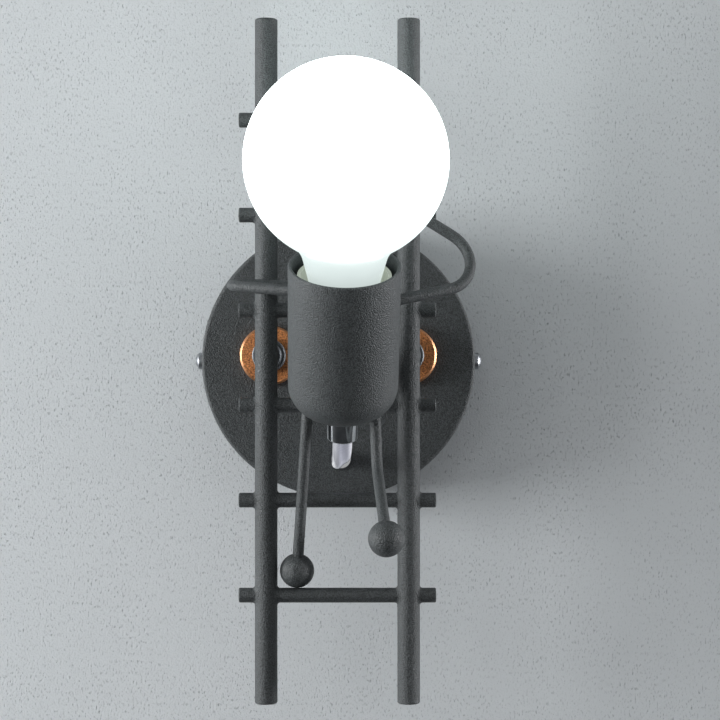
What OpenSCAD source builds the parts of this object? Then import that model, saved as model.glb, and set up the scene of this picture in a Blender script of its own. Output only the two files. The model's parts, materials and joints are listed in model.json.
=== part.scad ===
// Wall sconce: a climbing lamp figure on a small ladder that stands off a round canopy.
// The wall is the plane y = 0, with the origin at the canopy's centre.
// x runs to the right, z runs up, and the lamp stands out towards -y.

/* [Ladder] */
// Diameter of a rail
rail_d = 9.5; // [8:0.1:11]
// Length of a rail
rail_l = 288; // [260:1:320]
// Distance between the rails, axis to axis
rail_spacing = 60; // [56:1:66]
// Rounding of a rail's end edges
rail_edge = 0.8; // [0.3:0.1:1.5]
// Diameter of a rung
rung_d = 6.2; // [5:0.1:6.8]
// Length of a rung
rung_l = 83; // [78:1:95]
// Distance from one rung to the next
rung_pitch = 40; // [38:0.5:42]
// Height of the middle of the six rungs above the canopy's centre
rungs_rise = 1.5; // [0:0.5:3]
// Rounding of a rung's end edges
rung_edge = 0.6; // [0.3:0.1:1.2]
// Gap between the canopy's face and the axis of the rails
ladder_gap = 34; // [30:1:40]

/* [Canopy] */
// Diameter of the canopy
canopy_d = 120; // [112:1:130]
// Depth of the canopy
canopy_depth = 24; // [22:1:30]
// Sheet thickness of the canopy
canopy_wall = 1.2; // [0.8:0.1:2]
// Outer rounding of the canopy's front edge
canopy_edge = 1.4; // [0.6:0.1:3]
// Distance of the side screws from the wall
side_screw_out = 11; // [9:0.5:13]
// Thread diameter of the side screws
side_screw_d = 4; // [3:0.1:5]
// Head diameter of the side screws
side_head_d = 7.4; // [6.5:0.1:9]
// Height of the straight part of a side screw's head
side_head_h = 2; // [1:0.1:3]
// Height of the dome on a side screw's head
side_dome_h = 1.8; // [1:0.1:2.4]

/* [Stand-offs] */
// Height of the stand-offs above the canopy's centre
standoff_z = 2.5; // [0:0.5:4]
// Diameter of the copper-coloured ring
ring_d = 26; // [22:0.5:30]
// Thickness of the ring
ring_t = 4; // [3:0.1:5]
// Bevel on the ring's front edge
ring_bevel = 0.8; // [0.3:0.1:1.5]
// Diameter of the hub
hub_d = 14.5; // [13:0.5:17]
// Length of the hub
hub_l = 10; // [8:0.5:12]
// Diameter of the hub's nose
nose_d = 12; // [10.5:0.1:12.8]
// Length of the hub's nose
nose_l = 2.5; // [1.5:0.1:3.5]
// Diameter of the post between hub and rail
post_d = 7; // [6:0.1:7.8]
// How deep the post sits in the hub's nose
post_seat = 2; // [1:0.1:3]
// Thread diameter of the stud
stud_d = 5; // [4:0.1:5.5]
// Washer diameter behind the canopy's face
washer_d = 15; // [12:0.5:18]
// Washer thickness
washer_t = 1.2; // [0.8:0.1:1.6]
// Width across flats of the stud's nut
nut_flats = 8; // [7.5:0.1:9]
// Height of the stud's nut
nut_h = 4; // [3:0.1:4.5]
// How far the stud shows past its nut
stud_past = 1.5; // [0.5:0.1:2]

/* [Lamp cup] */
// Outer diameter of the cup
cup_d = 45; // [43:0.5:46]
// Length of the cup
cup_l = 66; // [64:0.5:70]
// Wall thickness of the cup
cup_wall = 1.5; // [1:0.1:1.8]
// Outer rounding of the cup's bottom
cup_round = 13; // [9:0.5:14]
// Forward tilt of the cup
cup_tilt = 27; // [24:1:30]
// Sideways lean of the cup
cup_lean = 1; // [0:0.5:3]
// The cup's bottom in front of the rails' axis
cup_out = 19.5; // [18:0.5:24]
// The cup's bottom to the right of the canopy's centre
cup_x = 2.4; // [0:0.2:4]
// Height of the cup's bottom, below zero as it hangs under the canopy's centre
cup_z = -20.7; // [-23:0.1:-18]

/* [Arms and legs] */
// Diameter of the rod that arms and legs are bent from
rod_d = 4.6; // [4:0.1:5]
// Drop of the left shoulder below the cup's rim
shoulder_left = 13; // [9:0.5:18]
// Drop of the right shoulder below the cup's rim
shoulder_right = 20.4; // [14:0.2:26]
// The left elbow's corner, out past the left rail
elbow_left_out = 35; // [28:1:38]
// Height of the left elbow's corner
elbow_left_z = 33; // [30:0.5:36]
// Bend radius of the left elbow
elbow_left_r = 7.3; // [6:0.1:8]
// The right elbow's corner, out past the right rail
elbow_right_out = 44.7; // [38:0.5:48]
// Height of the right elbow's corner
elbow_right_z = 35.9; // [32:0.5:40]
// Bend radius of the right elbow
elbow_right_r = 14.5; // [11:0.5:17]
// Height at which the left hand crosses its rail
hand_left_z = 31.8; // [30:0.1:34]
// Height at which the right hand crosses its rail
hand_right_z = 63.5; // [58:0.5:68]
// How far the hands reach past the rails' axes
hand_past = 9.5; // [6:0.5:12]
// Distance of the left hip from the cup's axis
hip_left = 14.2; // [12:0.2:15]
// Distance of the right hip from the cup's axis
hip_right = 13; // [12:0.2:15]
// Height of the hips along the cup
hip_up = 6; // [4:0.5:8]
// Bend radius of the knees
knee_r = 14; // [9:0.5:16]
// The left knee's corner inside the left rail
knee_left_in = 15; // [13:0.5:17]
// Height of the left knee's corner over rung 6
knee_left_up = 37.5; // [34:0.5:38.5]
// The right knee's corner inside the right rail
knee_right_in = 13.6; // [12:0.2:17]
// The right knee's corner in front of the rails' axis
knee_right_out = 23.5; // [20:0.5:28]
// Height of the right knee's corner, below zero as it is under the canopy's centre
knee_right_z = -43.2; // [-46:0.2:-40]
// Diameter of the ball feet
foot_d = 14.4; // [12:0.2:15.2]
// The left foot inside the left rail
foot_left_in = 13; // [12.6:0.2:16]
// The right foot inside the right rail
foot_right_in = 10.2; // [8:0.2:16]
// The right foot in front of the rails' axis
foot_right_out = 60.5; // [50:0.5:66]
// Height of the right foot, below zero as it is under the canopy's centre
foot_right_z = -69.1; // [-74:0.5:-64]

/* [Lampholder] */
// Outer diameter of the lampholder
holder_d = 37.6; // [37:0.1:39]
// Length of the lampholder's cap
holder_cap_l = 16; // [15:0.5:18]
// Wall thickness of the lampholder
holder_wall = 1.6; // [1.2:0.1:2]
// Height of the skirt's mouth along the cup
skirt_top = 61.5; // [58:0.5:63]
// Thickness of the insulating insert
insert_t = 5; // [4.5:0.5:8]
// Outer diameter of the screw shell
shell_d = 28; // [27.6:0.1:29]
// Sheet thickness of the screw shell
shell_t = 0.5; // [0.3:0.1:0.6]
// Height of the screw shell over the insert
shell_l = 22; // [18:0.5:24]
// Rise of the centre contact's tongue over the insert
contact_rise = 1.5; // [1:0.1:2]

/* [Cord grip and flex] */
// Diameter of the chrome cord grip
grip_d = 13.2; // [12.6:0.1:14.5]
// Length of the cord grip below the cup
grip_l = 12; // [11:0.5:14]
// Thread diameter of the grip's spigot
spigot_d = 11; // [10.6:0.1:12]
// Length of the spigot above the cup's bottom
spigot_l = 13; // [11:0.5:14]
// Bore of the cord grip
grip_bore = 8.9; // [8.8:0.1:9.2]
// Width across flats of the locknut
locknut_flats = 17; // [15:0.5:19]
// Height of the locknut
locknut_h = 4; // [3:0.1:5]
// Width of the twin flex
flex_w = 8.2; // [7.6:0.1:8.4]
// Thickness of the twin flex
flex_t = 4.6; // [4:0.1:4.8]
// Diameter of one core of the flex
core_d = 2.6; // [2:0.1:2.8]

/* [Bulb] */
// Diameter of the globe
bulb_d = 79.5; // [75:0.5:85]
// Thickness of the glass
glass_t = 1; // [0.8:0.1:1.2]
// Diameter of the bulb's neck
neck_d = 26.6; // [26.4:0.1:28]
// Radius of the hollow curve from globe to neck
neck_blend = 38; // [30:1:42]
// Diameter of the bulb's screw cap
cap_d = 26.2; // [25.8:0.1:26.4]
// Length of the screw cap
cap_l = 20; // [18:0.5:21]
// Length of the insulator under the cap
insulator_l = 2.8; // [2:0.1:3.2]
// Length of the end contact
tip_l = 1.2; // [0.8:0.1:1.5]

/* [Wall bracket] */
// Width of the wall bracket's strap
bracket_w = 24; // [22:0.5:26]
// Sheet thickness of the bracket
bracket_t = 2; // [1.5:0.1:2.5]
// Height of the bracket's bent tabs over the wall
tab_h = 16; // [15:0.5:17]
// Inner bend radius of the bracket
tab_bend = 1; // [0.5:0.1:1.5]
// Distance between the two wall screw slots
slot_spacing = 76; // [74:1:80]
// Width of a wall screw slot
slot_w = 4.5; // [4:0.1:5]
// Length of a wall screw slot, end to end
slot_l = 12; // [9:0.5:14]
// Diameter of the supply cable's hole
entry_d = 12; // [10:0.5:13]

/* [Hidden] */
$fn = 48;

coat = [0.23, 0.25, 0.26];
steel = [0.72, 0.73, 0.75];
copper = [0.62, 0.36, 0.22];
brass = [0.78, 0.66, 0.36];
cream = [0.90, 0.89, 0.82];
rubber = [0.10, 0.10, 0.11];
opal = [0.96, 0.96, 0.93];
vinyl = [0.80, 0.82, 0.86];

// Overrun of every cut
over = 1;
// Clearance of a piece in its drilled hole, on the radius
fit = 0.05;
// Gap of a welded rod over the surface that it follows
weld_gap = 0.05;
// Gap under what only rests on its seat
rest_gap = 0.1;

rung_count = 6;
rungs_above = (rung_count - 1) / 2;
ladder_out = canopy_depth + ladder_gap;
lamp_out = ladder_out + cup_out;
canopy_inside = canopy_depth - canopy_wall;
canopy_inner_r = canopy_d / 2 - canopy_wall;
ring_out = canopy_depth + ring_t;
hub_out = ring_out + hub_l;
bracket_gap = 0.4;
nose_taper = 1.2;
bracket_half = sqrt(pow(canopy_inner_r, 2) - pow(bracket_w / 2, 2)) - bracket_gap;

// Cord grip, locknut and lampholder stand on one another along the cup
holder_foot = cup_wall + locknut_h;
holder_top = holder_foot + holder_cap_l;
holder_floor = 3;
skirt_lap = 5;
insert_seat = 2;
insert_foot = holder_top - insert_seat;
insert_top = insert_foot + insert_t;
insert_d = holder_d - 4 * (holder_wall + fit);
contact_t = 0.6;
tongue_w = 6;
tongue_l = 9;
shell_flange = 1.6;
terminal_x = 9.5;
terminal_y = 8;
terminal_d = 3;
terminal_head_d = 5;
terminal_head_h = 1.8;
terminal_length = 4;

// The bulb rests on the centre contact
tip_at = insert_top + contact_rise + contact_t + rest_gap;
blend_x = neck_d / 2 + neck_blend;
blend_z = -sqrt(pow(bulb_d / 2 + neck_blend, 2) - pow(blend_x, 2));
neck_straight = 0.8;
globe_foot = blend_z - neck_straight;
bulb_at = tip_at + tip_l + insulator_l + cap_l + fit - globe_foot;
cap_t = 0.35;
cap_taper = 3;
tip_d = 9.4;
insulator_d = 16;
board_d = 24;
board_t = 1.6;
board_up = 6;
driver_d = neck_d - 2 * (glass_t + fit);

// Route of the flex, from the lampholder down through the grip and back into the canopy
flex_route = [
  [2.6, -83.9, -8.2], [2.5, -81.1, -13.6], [2.4, -77.5, -20.7], [2.3, -73.9, -27.8], [2.2, -70.7, -34.1],
  [2.0, -67.7, -38.9], [1.8, -65.0, -41.2], [1.5, -61.8, -42.5], [1.3, -58.4, -42.9],
  [1.2, -46, -42.9], [1.2, -34, -42.9], [1.2, -25, -42.9], [1.2, -16.5, -42.9],
  [1.2, -12.6, -41.9], [1.2, -9.6, -39.1], [1.2, -8.4, -35], [1.2, -8.2, -27], [1.2, -8.2, -18.4]
];
flex_steps = 3;
flex_entry_x = 1.2;
flex_entry_z = -42.9;
// Corners of one core's path inside the canopy, from the flex to the terminal block
core_path_1 = [[-0.4, -7.4, -18.3], [-0.4, -7.4, -15.6], [-14.5, -6.2, -13], [-14.5, -6.2, -8.3]];
core_path_2 = [
  [2.8, -9, -18.3], [2.8, -9, -16.5], [2, -13, -15], [-12, -13, -15.5], [-23.5, -6.2, -14.5],
  [-23.5, -6.2, -8.3]
];
core_bend = 1.6;
// How far the flex is turned about its own line
flex_turn = 25;
cores_at = 14.2;
cores_rise = 1.8;
core_spread_share = 0.8;
core_side_share = 0.7;
upright_share = 0.9;
rod_sides = 20;
core_sides = 8;
bend_step = 9;
globe_steps = 18;
blend_steps = 6;

grommet_d = 10.4;
grommet_lip = 1.4;
grommet_lip_t = 1.2;
grommet_proud = 0.3;
grommet_bore = flex_w + 2 * rest_gap;
grip_edge = 0.7;
grip_screw_d = 3;
grip_screw_l = 3.4;
grip_screw_in = flex_t / 2 + (flex_w - flex_t) / 2 * sin(flex_turn) + rest_gap;
grip_screw_down = grip_l / 2;

block_w = 18;
block_l = 16;
block_h = 8;
block_left = 28;
way_pitch = block_w / 2;
tower_d = 6.4;
tower_h = 4;
tower_share = 0.3;
clamp_d = 4.6;
clamp_bore = 2.9;
clamp_l = 13;
clamp_rise = 4.2;
clamp_out = bracket_t + clamp_rise;
clamp_screw_d = 2.6;
clamp_head_d = 4;
clamp_head_h = 1.6;
block_screw_d = 3;
block_head_d = 5;
block_head_h = 2;
earth_right = 19;
earth_screw_d = 4;
earth_head_d = 7.5;
earth_head_h = 2.6;
earth_washer_d = 9;
earth_washer_t = 1;
earth_past = 0.2;
// Width of a cross recess, and its length as a share of the head
recess_w = 1;
recess_share = 0.55;

// Places that several pieces share
rod_out = ladder_out + rail_d / 2 + rod_d / 2 + weld_gap;
foot_left_z = rung_z(rung_count) + rung_d / 2 + foot_d / 2 + weld_gap;
knee_clear = 1.4;
knee_left_out = ladder_out + rung_d / 2 + rod_d / 2 + knee_clear;

function side_x(side) = side * rail_spacing / 2;
function rung_z(n) = rungs_rise + (rungs_above - (n - 1)) * rung_pitch;

// A place in the wall's frame from its distance along the cup, x and y in the cup's own frame
function lamp_point(x, y, up) =
  let (
    y1 = y * cos(cup_tilt) - up * sin(cup_tilt),
    z1 = y * sin(cup_tilt) + up * cos(cup_tilt)
  )
  [
    cup_x + x * cos(cup_lean) + z1 * sin(cup_lean),
    y1 - lamp_out,
    cup_z - x * sin(cup_lean) + z1 * cos(cup_lean)
  ];

function unit(v) = v / norm(v);

// The lamp's own frame: z runs up the cup from the middle of its bottom
module on_lamp() {
  translate([cup_x, -lamp_out, cup_z])
    rotate([cup_tilt, cup_lean, 0])
      children();
}

// A stand-off's own frame: z runs out from the wall
module on_standoff(side) {
  translate([side_x(side), 0, standoff_z])
    rotate([90, 0, 0])
      children();
}

// A frame on the wall with z running out from it, at the place x, z
module on_wall(x, z) {
  translate([x, 0, z])
    rotate([90, 0, 0])
      children();
}

// Half outline of a round bar from z = 0 up, with rounded edges at both ends
module bar_outline(r, l, edge) {
  square([r - edge, l]);
  translate([0, edge])
    square([r, l - 2 * edge]);
  translate([r - edge, edge])
    circle(edge);
  translate([r - edge, l - edge])
    circle(edge);
}

// Half outline of a cup or can with one rounded edge at its foot
module cup_outline(r, l, edge) {
  square([r - edge, l]);
  translate([0, edge])
    square([r, l - edge]);
  translate([r - edge, edge])
    intersection() {
      circle(edge);
      translate([0, -edge])
        square([edge, 2 * edge]);
    }
}

module tube(outer_r, inner_r, l) {
  difference() {
    cylinder(r = outer_r, h = l);
    translate([0, 0, -over])
      cylinder(r = inner_r, h = l + 2 * over);
  }
}

module hexagon(flats, h) {
  cylinder(d = flats / cos(30), h = h, $fn = 6);
}

// A length of straight rod from a to b
module straight_rod(a, b, d) {
  w = unit(b - a);
  s = abs(w[2]) < upright_share ? [0, 0, 1] : [1, 0, 0];
  u = unit(cross(s, w));
  v = cross(w, u);
  multmatrix([
    [u[0], v[0], w[0], a[0]],
    [u[1], v[1], w[1], a[1]],
    [u[2], v[2], w[2], a[2]],
    [0, 0, 0, 1]
  ])
    cylinder(d = d, h = norm(b - a));
}

// How far the path p turns at corner i
function bend_turn(p, i) = acos(unit(p[i] - p[i - 1]) * unit(p[i + 1] - p[i]));

// Points along the bend at corner i, bent at radius r
function bend_points(p, i, r) =
  let (
    u = unit(p[i] - p[i - 1]),
    w = unit(p[i + 1] - p[i]),
    turn = bend_turn(p, i),
    inward = unit(w - (u * w) * u),
    middle = p[i] - u * r * tan(turn / 2) + inward * r,
    steps = ceil(turn / bend_step)
  )
  [for (k = [0 : steps]) middle - inward * r * cos(turn * k / steps) + u * r * sin(turn * k / steps)];

// The line of a rod through the corners p, each bent at radius r
function rod_line(p, r) = [
  p[0],
  for (i = [1 : len(p) - 2]) each bend_points(p, i, r),
  p[len(p) - 1]
];

// A rod with so many sides through the corners p, each bent at radius r
module bent_rod(p, d, r, sides) {
  ring = [for (k = [1 : sides]) [cos(k * 360 / sides), sin(k * 360 / sides)] * d / 2];
  sweep(rod_line(p, r), ring, cross(p[1] - p[0], p[2] - p[1]));
}

// Cross recess in the top of a screw head, at z = 0 and down
module cross_recess(head_d, depth) {
  arm = head_d * recess_share;
  for (turn = [0, 90])
    rotate([0, 0, turn])
      translate([-arm / 2, -recess_w / 2, -depth])
        cube([arm, recess_w, depth + over]);
}

module rail(side) {
  color(coat)
    difference() {
      translate([side_x(side), -ladder_out, -rail_l / 2])
        rotate_extrude()
          bar_outline(rail_d / 2, rail_l, rail_edge);
      for (n = [1 : rung_count])
        translate([side_x(side) - rail_d, -ladder_out, rung_z(n)])
          rotate([0, 90, 0])
            cylinder(r = rung_d / 2 + fit, h = rail_d * 2);
    }
}

module rung(n) {
  color(coat)
    translate([-rung_l / 2, -ladder_out, rung_z(n)])
      rotate([0, 90, 0])
        rotate_extrude()
          bar_outline(rung_d / 2, rung_l, rung_edge);
}

// Post with its fishmouth end on the rail and its stud through hub, ring and canopy
module standoff_post(side) {
  stud_end = canopy_inside - washer_t - nut_h - stud_past;
  color(coat)
    difference() {
      on_standoff(side) {
        translate([0, 0, hub_out - post_seat])
          cylinder(d = post_d, h = ladder_gap - ring_t - hub_l + post_seat);
        translate([0, 0, stud_end])
          cylinder(d = stud_d, h = hub_out - post_seat - stud_end);
      }
      translate([side_x(side), -ladder_out, standoff_z - rail_d])
        cylinder(r = rail_d / 2 + weld_gap, h = rail_d * 2);
    }
}

module standoff_hub(side) {
  color(steel)
    on_standoff(side)
      difference() {
        union() {
          translate([0, 0, ring_out])
            cylinder(d = hub_d, h = hub_l - nose_l);
          translate([0, 0, hub_out - nose_l])
            cylinder(d1 = nose_d, d2 = nose_d - nose_taper, h = nose_l);
        }
        translate([0, 0, ring_out - over])
          cylinder(r = stud_d / 2 + fit, h = hub_l + 2 * over);
        translate([0, 0, hub_out - post_seat])
          cylinder(r = post_d / 2 + fit, h = post_seat + over);
      }
}

module copper_ring(side) {
  color(copper)
    on_standoff(side)
      translate([0, 0, canopy_depth])
        difference() {
          union() {
            cylinder(d = ring_d, h = ring_t - ring_bevel);
            translate([0, 0, ring_t - ring_bevel])
              cylinder(d1 = ring_d, d2 = ring_d - 2 * ring_bevel, h = ring_bevel);
          }
          translate([0, 0, -over])
            cylinder(r = stud_d / 2 + fit, h = ring_t + 2 * over);
        }
}

module standoff_washers() {
  color(steel)
    for (side = [-1, 1])
      on_standoff(side)
        translate([0, 0, canopy_inside - washer_t])
          tube(washer_d / 2, stud_d / 2 + fit, washer_t);
}

module standoff_nuts() {
  color(steel)
    for (side = [-1, 1])
      on_standoff(side)
        translate([0, 0, canopy_inside - washer_t - nut_h])
          difference() {
            hexagon(nut_flats, nut_h);
            translate([0, 0, -over])
              cylinder(r = stud_d / 2 + fit, h = nut_h + 2 * over);
          }
}

module canopy_shell() {
  color(coat)
    difference() {
      on_wall(0, 0)
        rotate_extrude()
          difference() {
            translate([0, canopy_depth])
              mirror([0, 1])
                cup_outline(canopy_d / 2, canopy_depth, canopy_edge);
            translate([-over, -over])
              square([canopy_inner_r + over, canopy_inside + over]);
          }
      for (side = [-1, 1])
        on_standoff(side)
          translate([0, 0, canopy_inside - over])
            cylinder(r = stud_d / 2 + fit, h = canopy_wall + 2 * over);
      for (side = [-1, 1])
        translate([side * canopy_d / 2, -side_screw_out, 0])
          rotate([0, 90, 0])
            cylinder(r = side_screw_d / 2 + fit, h = canopy_wall * 4, center = true);
      on_wall(flex_entry_x, flex_entry_z)
        translate([0, 0, canopy_inside - over])
          cylinder(r = grommet_d / 2 + fit, h = canopy_wall + 2 * over);
    }
}

// Rubber bush that lies almost flush in the canopy's face, with its lip inside
module canopy_grommet() {
  color(rubber)
    on_wall(flex_entry_x, flex_entry_z)
      difference() {
        union() {
          translate([0, 0, canopy_inside - grommet_lip_t])
            cylinder(r = grommet_d / 2 + grommet_lip, h = grommet_lip_t);
          translate([0, 0, canopy_inside])
            cylinder(d = grommet_d, h = canopy_wall + grommet_proud);
        }
        translate([0, 0, canopy_inside - grommet_lip_t - over])
          cylinder(d = grommet_bore, h = grommet_lip_t + canopy_wall + grommet_proud + 2 * over);
      }
}

// Pan head screws that pull the canopy onto the bracket's tabs
module canopy_side_screws() {
  shank = canopy_d / 2 - bracket_half + bracket_t * 2;
  dome_r = (pow(side_head_d / 2, 2) + pow(side_dome_h, 2)) / (2 * side_dome_h);
  head_h = side_head_h + side_dome_h;
  color(steel)
    for (side = [-1, 1])
      translate([side * canopy_d / 2, -side_screw_out, 0])
        rotate([0, side * 90, 0])
          difference() {
            union() {
              translate([0, 0, -shank])
                cylinder(d = side_screw_d, h = shank + side_head_h / 2);
              cylinder(d = side_head_d, h = side_head_h);
              intersection() {
                translate([0, 0, head_h - dome_r])
                  sphere(dome_r);
                translate([0, 0, side_head_h])
                  cylinder(d = side_head_d, h = side_dome_h + over);
              }
            }
            translate([0, 0, head_h])
              cross_recess(side_head_d, side_head_h);
          }
}

// A flat sheet profile with its two feet rounded, from z = 0 up
module tray_outline(half, h, r) {
  translate([-half, r])
    square([2 * half, h - r]);
  translate([r - half, 0])
    square([2 * (half - r), h]);
  for (side = [-1, 1])
    translate([side * (half - r), r])
      circle(r);
}

// Strap on the wall, with bent tabs that hold the side screws
module wall_bracket() {
  color(steel)
    difference() {
      rotate([180, 0, 0])
        translate([0, 0, -bracket_w / 2])
          linear_extrude(bracket_w)
            difference() {
              tray_outline(bracket_half, tab_h, bracket_t + tab_bend);
              translate([0, bracket_t])
                tray_outline(bracket_half - bracket_t, tab_h + over, tab_bend);
            }
      for (side = [-1, 1])
        translate([side * bracket_half, -side_screw_out, 0])
          rotate([0, 90, 0])
            cylinder(r = side_screw_d / 2 + fit, h = bracket_t * 3, center = true);
      for (side = [-1, 1])
        on_wall(side * slot_spacing / 2, 0)
          wall_slot();
      on_wall(0, 0)
        translate([0, 0, -over])
          cylinder(d = entry_d, h = bracket_t + 2 * over);
      on_wall(-(block_left - way_pitch), 0)
        translate([0, 0, -over])
          cylinder(r = block_screw_d / 2 + fit, h = bracket_t + 2 * over);
      on_wall(earth_right, 0)
        translate([0, 0, -over])
          cylinder(r = earth_screw_d / 2 + fit, h = bracket_t + 2 * over);
    }
}

module wall_slot() {
  straight = slot_l - slot_w;
  translate([0, 0, -over])
    linear_extrude(bracket_t + 2 * over) {
      square([straight, slot_w], center = true);
      for (side = [-1, 1])
        translate([side * straight / 2, 0])
          circle(d = slot_w);
    }
}

// The frame of one way of the terminal block
module on_way(way) {
  translate([way_pitch * (way - 1) + way_pitch / 2 - block_left, 0, 0])
    children();
}

module terminal_block() {
  color(cream)
    difference() {
      union() {
        translate([-block_left, -bracket_t - block_h, -block_l / 2])
          cube([block_w, block_h, block_l]);
        for (way = [1, 2], end = [-1, 1])
          on_way(way)
            on_wall(0, end * block_l * tower_share)
              translate([0, 0, bracket_t + block_h / 2])
                cylinder(d = tower_d, h = block_h / 2 + tower_h);
      }
      for (way = [1, 2])
        on_way(way) {
          translate([0, -clamp_out, -block_l / 2 - over])
            cylinder(r = clamp_d / 2 + fit, h = block_l + 2 * over);
          for (end = [-1, 1])
            on_wall(0, end * block_l * tower_share)
              translate([0, 0, clamp_out])
                cylinder(r = clamp_head_d / 2 + fit, h = block_h + tower_h);
        }
      on_wall(-(block_left - way_pitch), 0)
        translate([0, 0, bracket_t - over])
          cylinder(r = block_screw_d / 2 + fit, h = block_h + 2 * over);
    }
}

module terminal_clamps() {
  color(brass)
    for (way = [1, 2])
      on_way(way)
        difference() {
          translate([0, -clamp_out, -clamp_l / 2])
            tube(clamp_d / 2, clamp_bore / 2, clamp_l);
          for (end = [-1, 1])
            on_wall(0, end * block_l * tower_share)
              translate([0, 0, clamp_out])
                cylinder(r = clamp_screw_d / 2 + fit, h = clamp_d);
        }
}

module terminal_screws() {
  color(steel)
    for (way = [1, 2], end = [-1, 1])
      on_way(way)
        on_wall(0, end * block_l * tower_share)
          difference() {
            union() {
              translate([0, 0, clamp_out + clamp_bore / 4])
                cylinder(d = clamp_screw_d, h = clamp_d);
              translate([0, 0, clamp_out + clamp_d / 2 + rest_gap])
                cylinder(d = clamp_head_d, h = clamp_head_h + clamp_d / 2);
            }
            translate([0, 0, clamp_out + clamp_d + clamp_head_h + rest_gap])
              cross_recess(clamp_head_d, clamp_head_h / 2);
          }
}

// Screw that holds the terminal block on the bracket
module block_screw() {
  color(steel)
    on_wall(-(block_left - way_pitch), 0)
      difference() {
        union() {
          translate([0, 0, earth_past])
            cylinder(d = block_screw_d, h = bracket_t + block_h - earth_past);
          translate([0, 0, bracket_t + block_h])
            cylinder(d = block_head_d, h = block_head_h);
        }
        translate([0, 0, bracket_t + block_h + block_head_h])
          cross_recess(block_head_d, block_head_h / 2);
      }
}

module earth_screw() {
  head_at = bracket_t + earth_washer_t;
  color(brass)
    on_wall(earth_right, 0)
      difference() {
        union() {
          translate([0, 0, earth_past])
            cylinder(d = earth_screw_d, h = head_at);
          translate([0, 0, head_at])
            cylinder(d = earth_head_d, h = earth_head_h);
        }
        translate([0, 0, head_at + earth_head_h])
          cross_recess(earth_head_d, earth_head_h / 2);
      }
}

module earth_washer() {
  color(brass)
    on_wall(earth_right, 0)
      translate([0, 0, bracket_t])
        tube(earth_washer_d / 2, earth_screw_d / 2 + fit, earth_washer_t);
}

// The space that the cup takes, grown by a gap, to cut rods to its surface
module cup_space(gap) {
  on_lamp()
    rotate_extrude()
      translate([0, -gap])
        cup_outline(cup_d / 2 + gap, cup_l, cup_round + gap);
}

module lamp_cup() {
  color(coat)
    on_lamp()
      difference() {
        rotate_extrude()
          difference() {
            cup_outline(cup_d / 2, cup_l, cup_round);
            translate([0, cup_wall])
              cup_outline(cup_d / 2 - cup_wall, cup_l, cup_round - cup_wall);
          }
        translate([0, 0, -over])
          cylinder(r = spigot_d / 2 + fit, h = cup_wall + 2 * over);
      }
}

module arm_left() {
  rail_x = side_x(-1);
  root = lamp_point(0, 0, cup_l - shoulder_left);
  elbow = [rail_x - elbow_left_out, -rod_out, elbow_left_z];
  hand = [rail_x, -rod_out, hand_left_z];
  color(coat)
    difference() {
      bent_rod([root, elbow, hand + unit(hand - elbow) * hand_past], rod_d, elbow_left_r, rod_sides);
      cup_space(weld_gap);
    }
}

module arm_right() {
  rail_x = side_x(1);
  root = lamp_point(0, 0, cup_l - shoulder_right);
  elbow = [rail_x + elbow_right_out, -rod_out, elbow_right_z];
  hand = [rail_x, -rod_out, hand_right_z];
  color(coat)
    difference() {
      bent_rod([root, elbow, hand + unit(hand - elbow) * hand_past], rod_d, elbow_right_r, rod_sides);
      cup_space(weld_gap);
    }
}

function foot_left_place() = [side_x(-1) + foot_left_in, -ladder_out, foot_left_z];
function foot_right_place() = [side_x(1) - foot_right_in, -ladder_out - foot_right_out, foot_right_z];

// Corners of the left leg, from the hip over the knee into the foot
function leg_left_path() =
  let (knee = [side_x(-1) + knee_left_in, -knee_left_out, rung_z(rung_count) + knee_left_up])
  [lamp_point(-hip_left, 0, hip_up), knee, foot_left_place()];

function leg_right_path() =
  let (knee = [side_x(1) - knee_right_in, -ladder_out - knee_right_out, knee_right_z])
  [lamp_point(hip_right, 0, hip_up), knee, foot_right_place()];

module leg_left() {
  color(coat)
    difference() {
      bent_rod(leg_left_path(), rod_d, knee_r, rod_sides);
      cup_space(weld_gap);
    }
}

module leg_right() {
  color(coat)
    difference() {
      bent_rod(leg_right_path(), rod_d, knee_r, rod_sides);
      cup_space(weld_gap);
    }
}

// A ball at the end of a leg, drilled to its middle for the rod
module foot(path) {
  knee = path[1];
  ankle = path[2];
  color(coat)
    difference() {
      translate(ankle)
        sphere(d = foot_d);
      straight_rod(ankle, ankle + unit(knee - ankle) * foot_d, rod_d + 2 * fit);
    }
}

module foot_left() {
  foot(leg_left_path());
}

module foot_right() {
  foot(leg_right_path());
}

// Chrome grip under the cup, with a threaded spigot up into the lampholder
module cord_grip() {
  color(steel)
    on_lamp()
      difference() {
        union() {
          translate([0, 0, -grip_l])
            rotate_extrude()
              bar_outline(grip_d / 2, grip_l, grip_edge);
          cylinder(d = spigot_d, h = spigot_l);
        }
        translate([0, 0, -grip_l - over])
          cylinder(d = grip_bore, h = grip_l + spigot_l + 2 * over);
        translate([0, 0, -grip_screw_down])
          rotate([-90, 0, 0])
            cylinder(r = grip_screw_d / 2 + fit, h = grip_d);
      }
}

// Nylon grub screw that presses on the flex from behind
module grip_screw() {
  color(cream)
    on_lamp()
      translate([0, grip_screw_in, -grip_screw_down])
        rotate([-90, 0, 0])
          cylinder(d = grip_screw_d, h = grip_screw_l);
}

module locknut() {
  color(steel)
    on_lamp()
      translate([0, 0, cup_wall])
        difference() {
          hexagon(locknut_flats, locknut_h);
          translate([0, 0, -over])
            cylinder(r = spigot_d / 2 + fit, h = locknut_h + 2 * over);
        }
}

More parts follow.
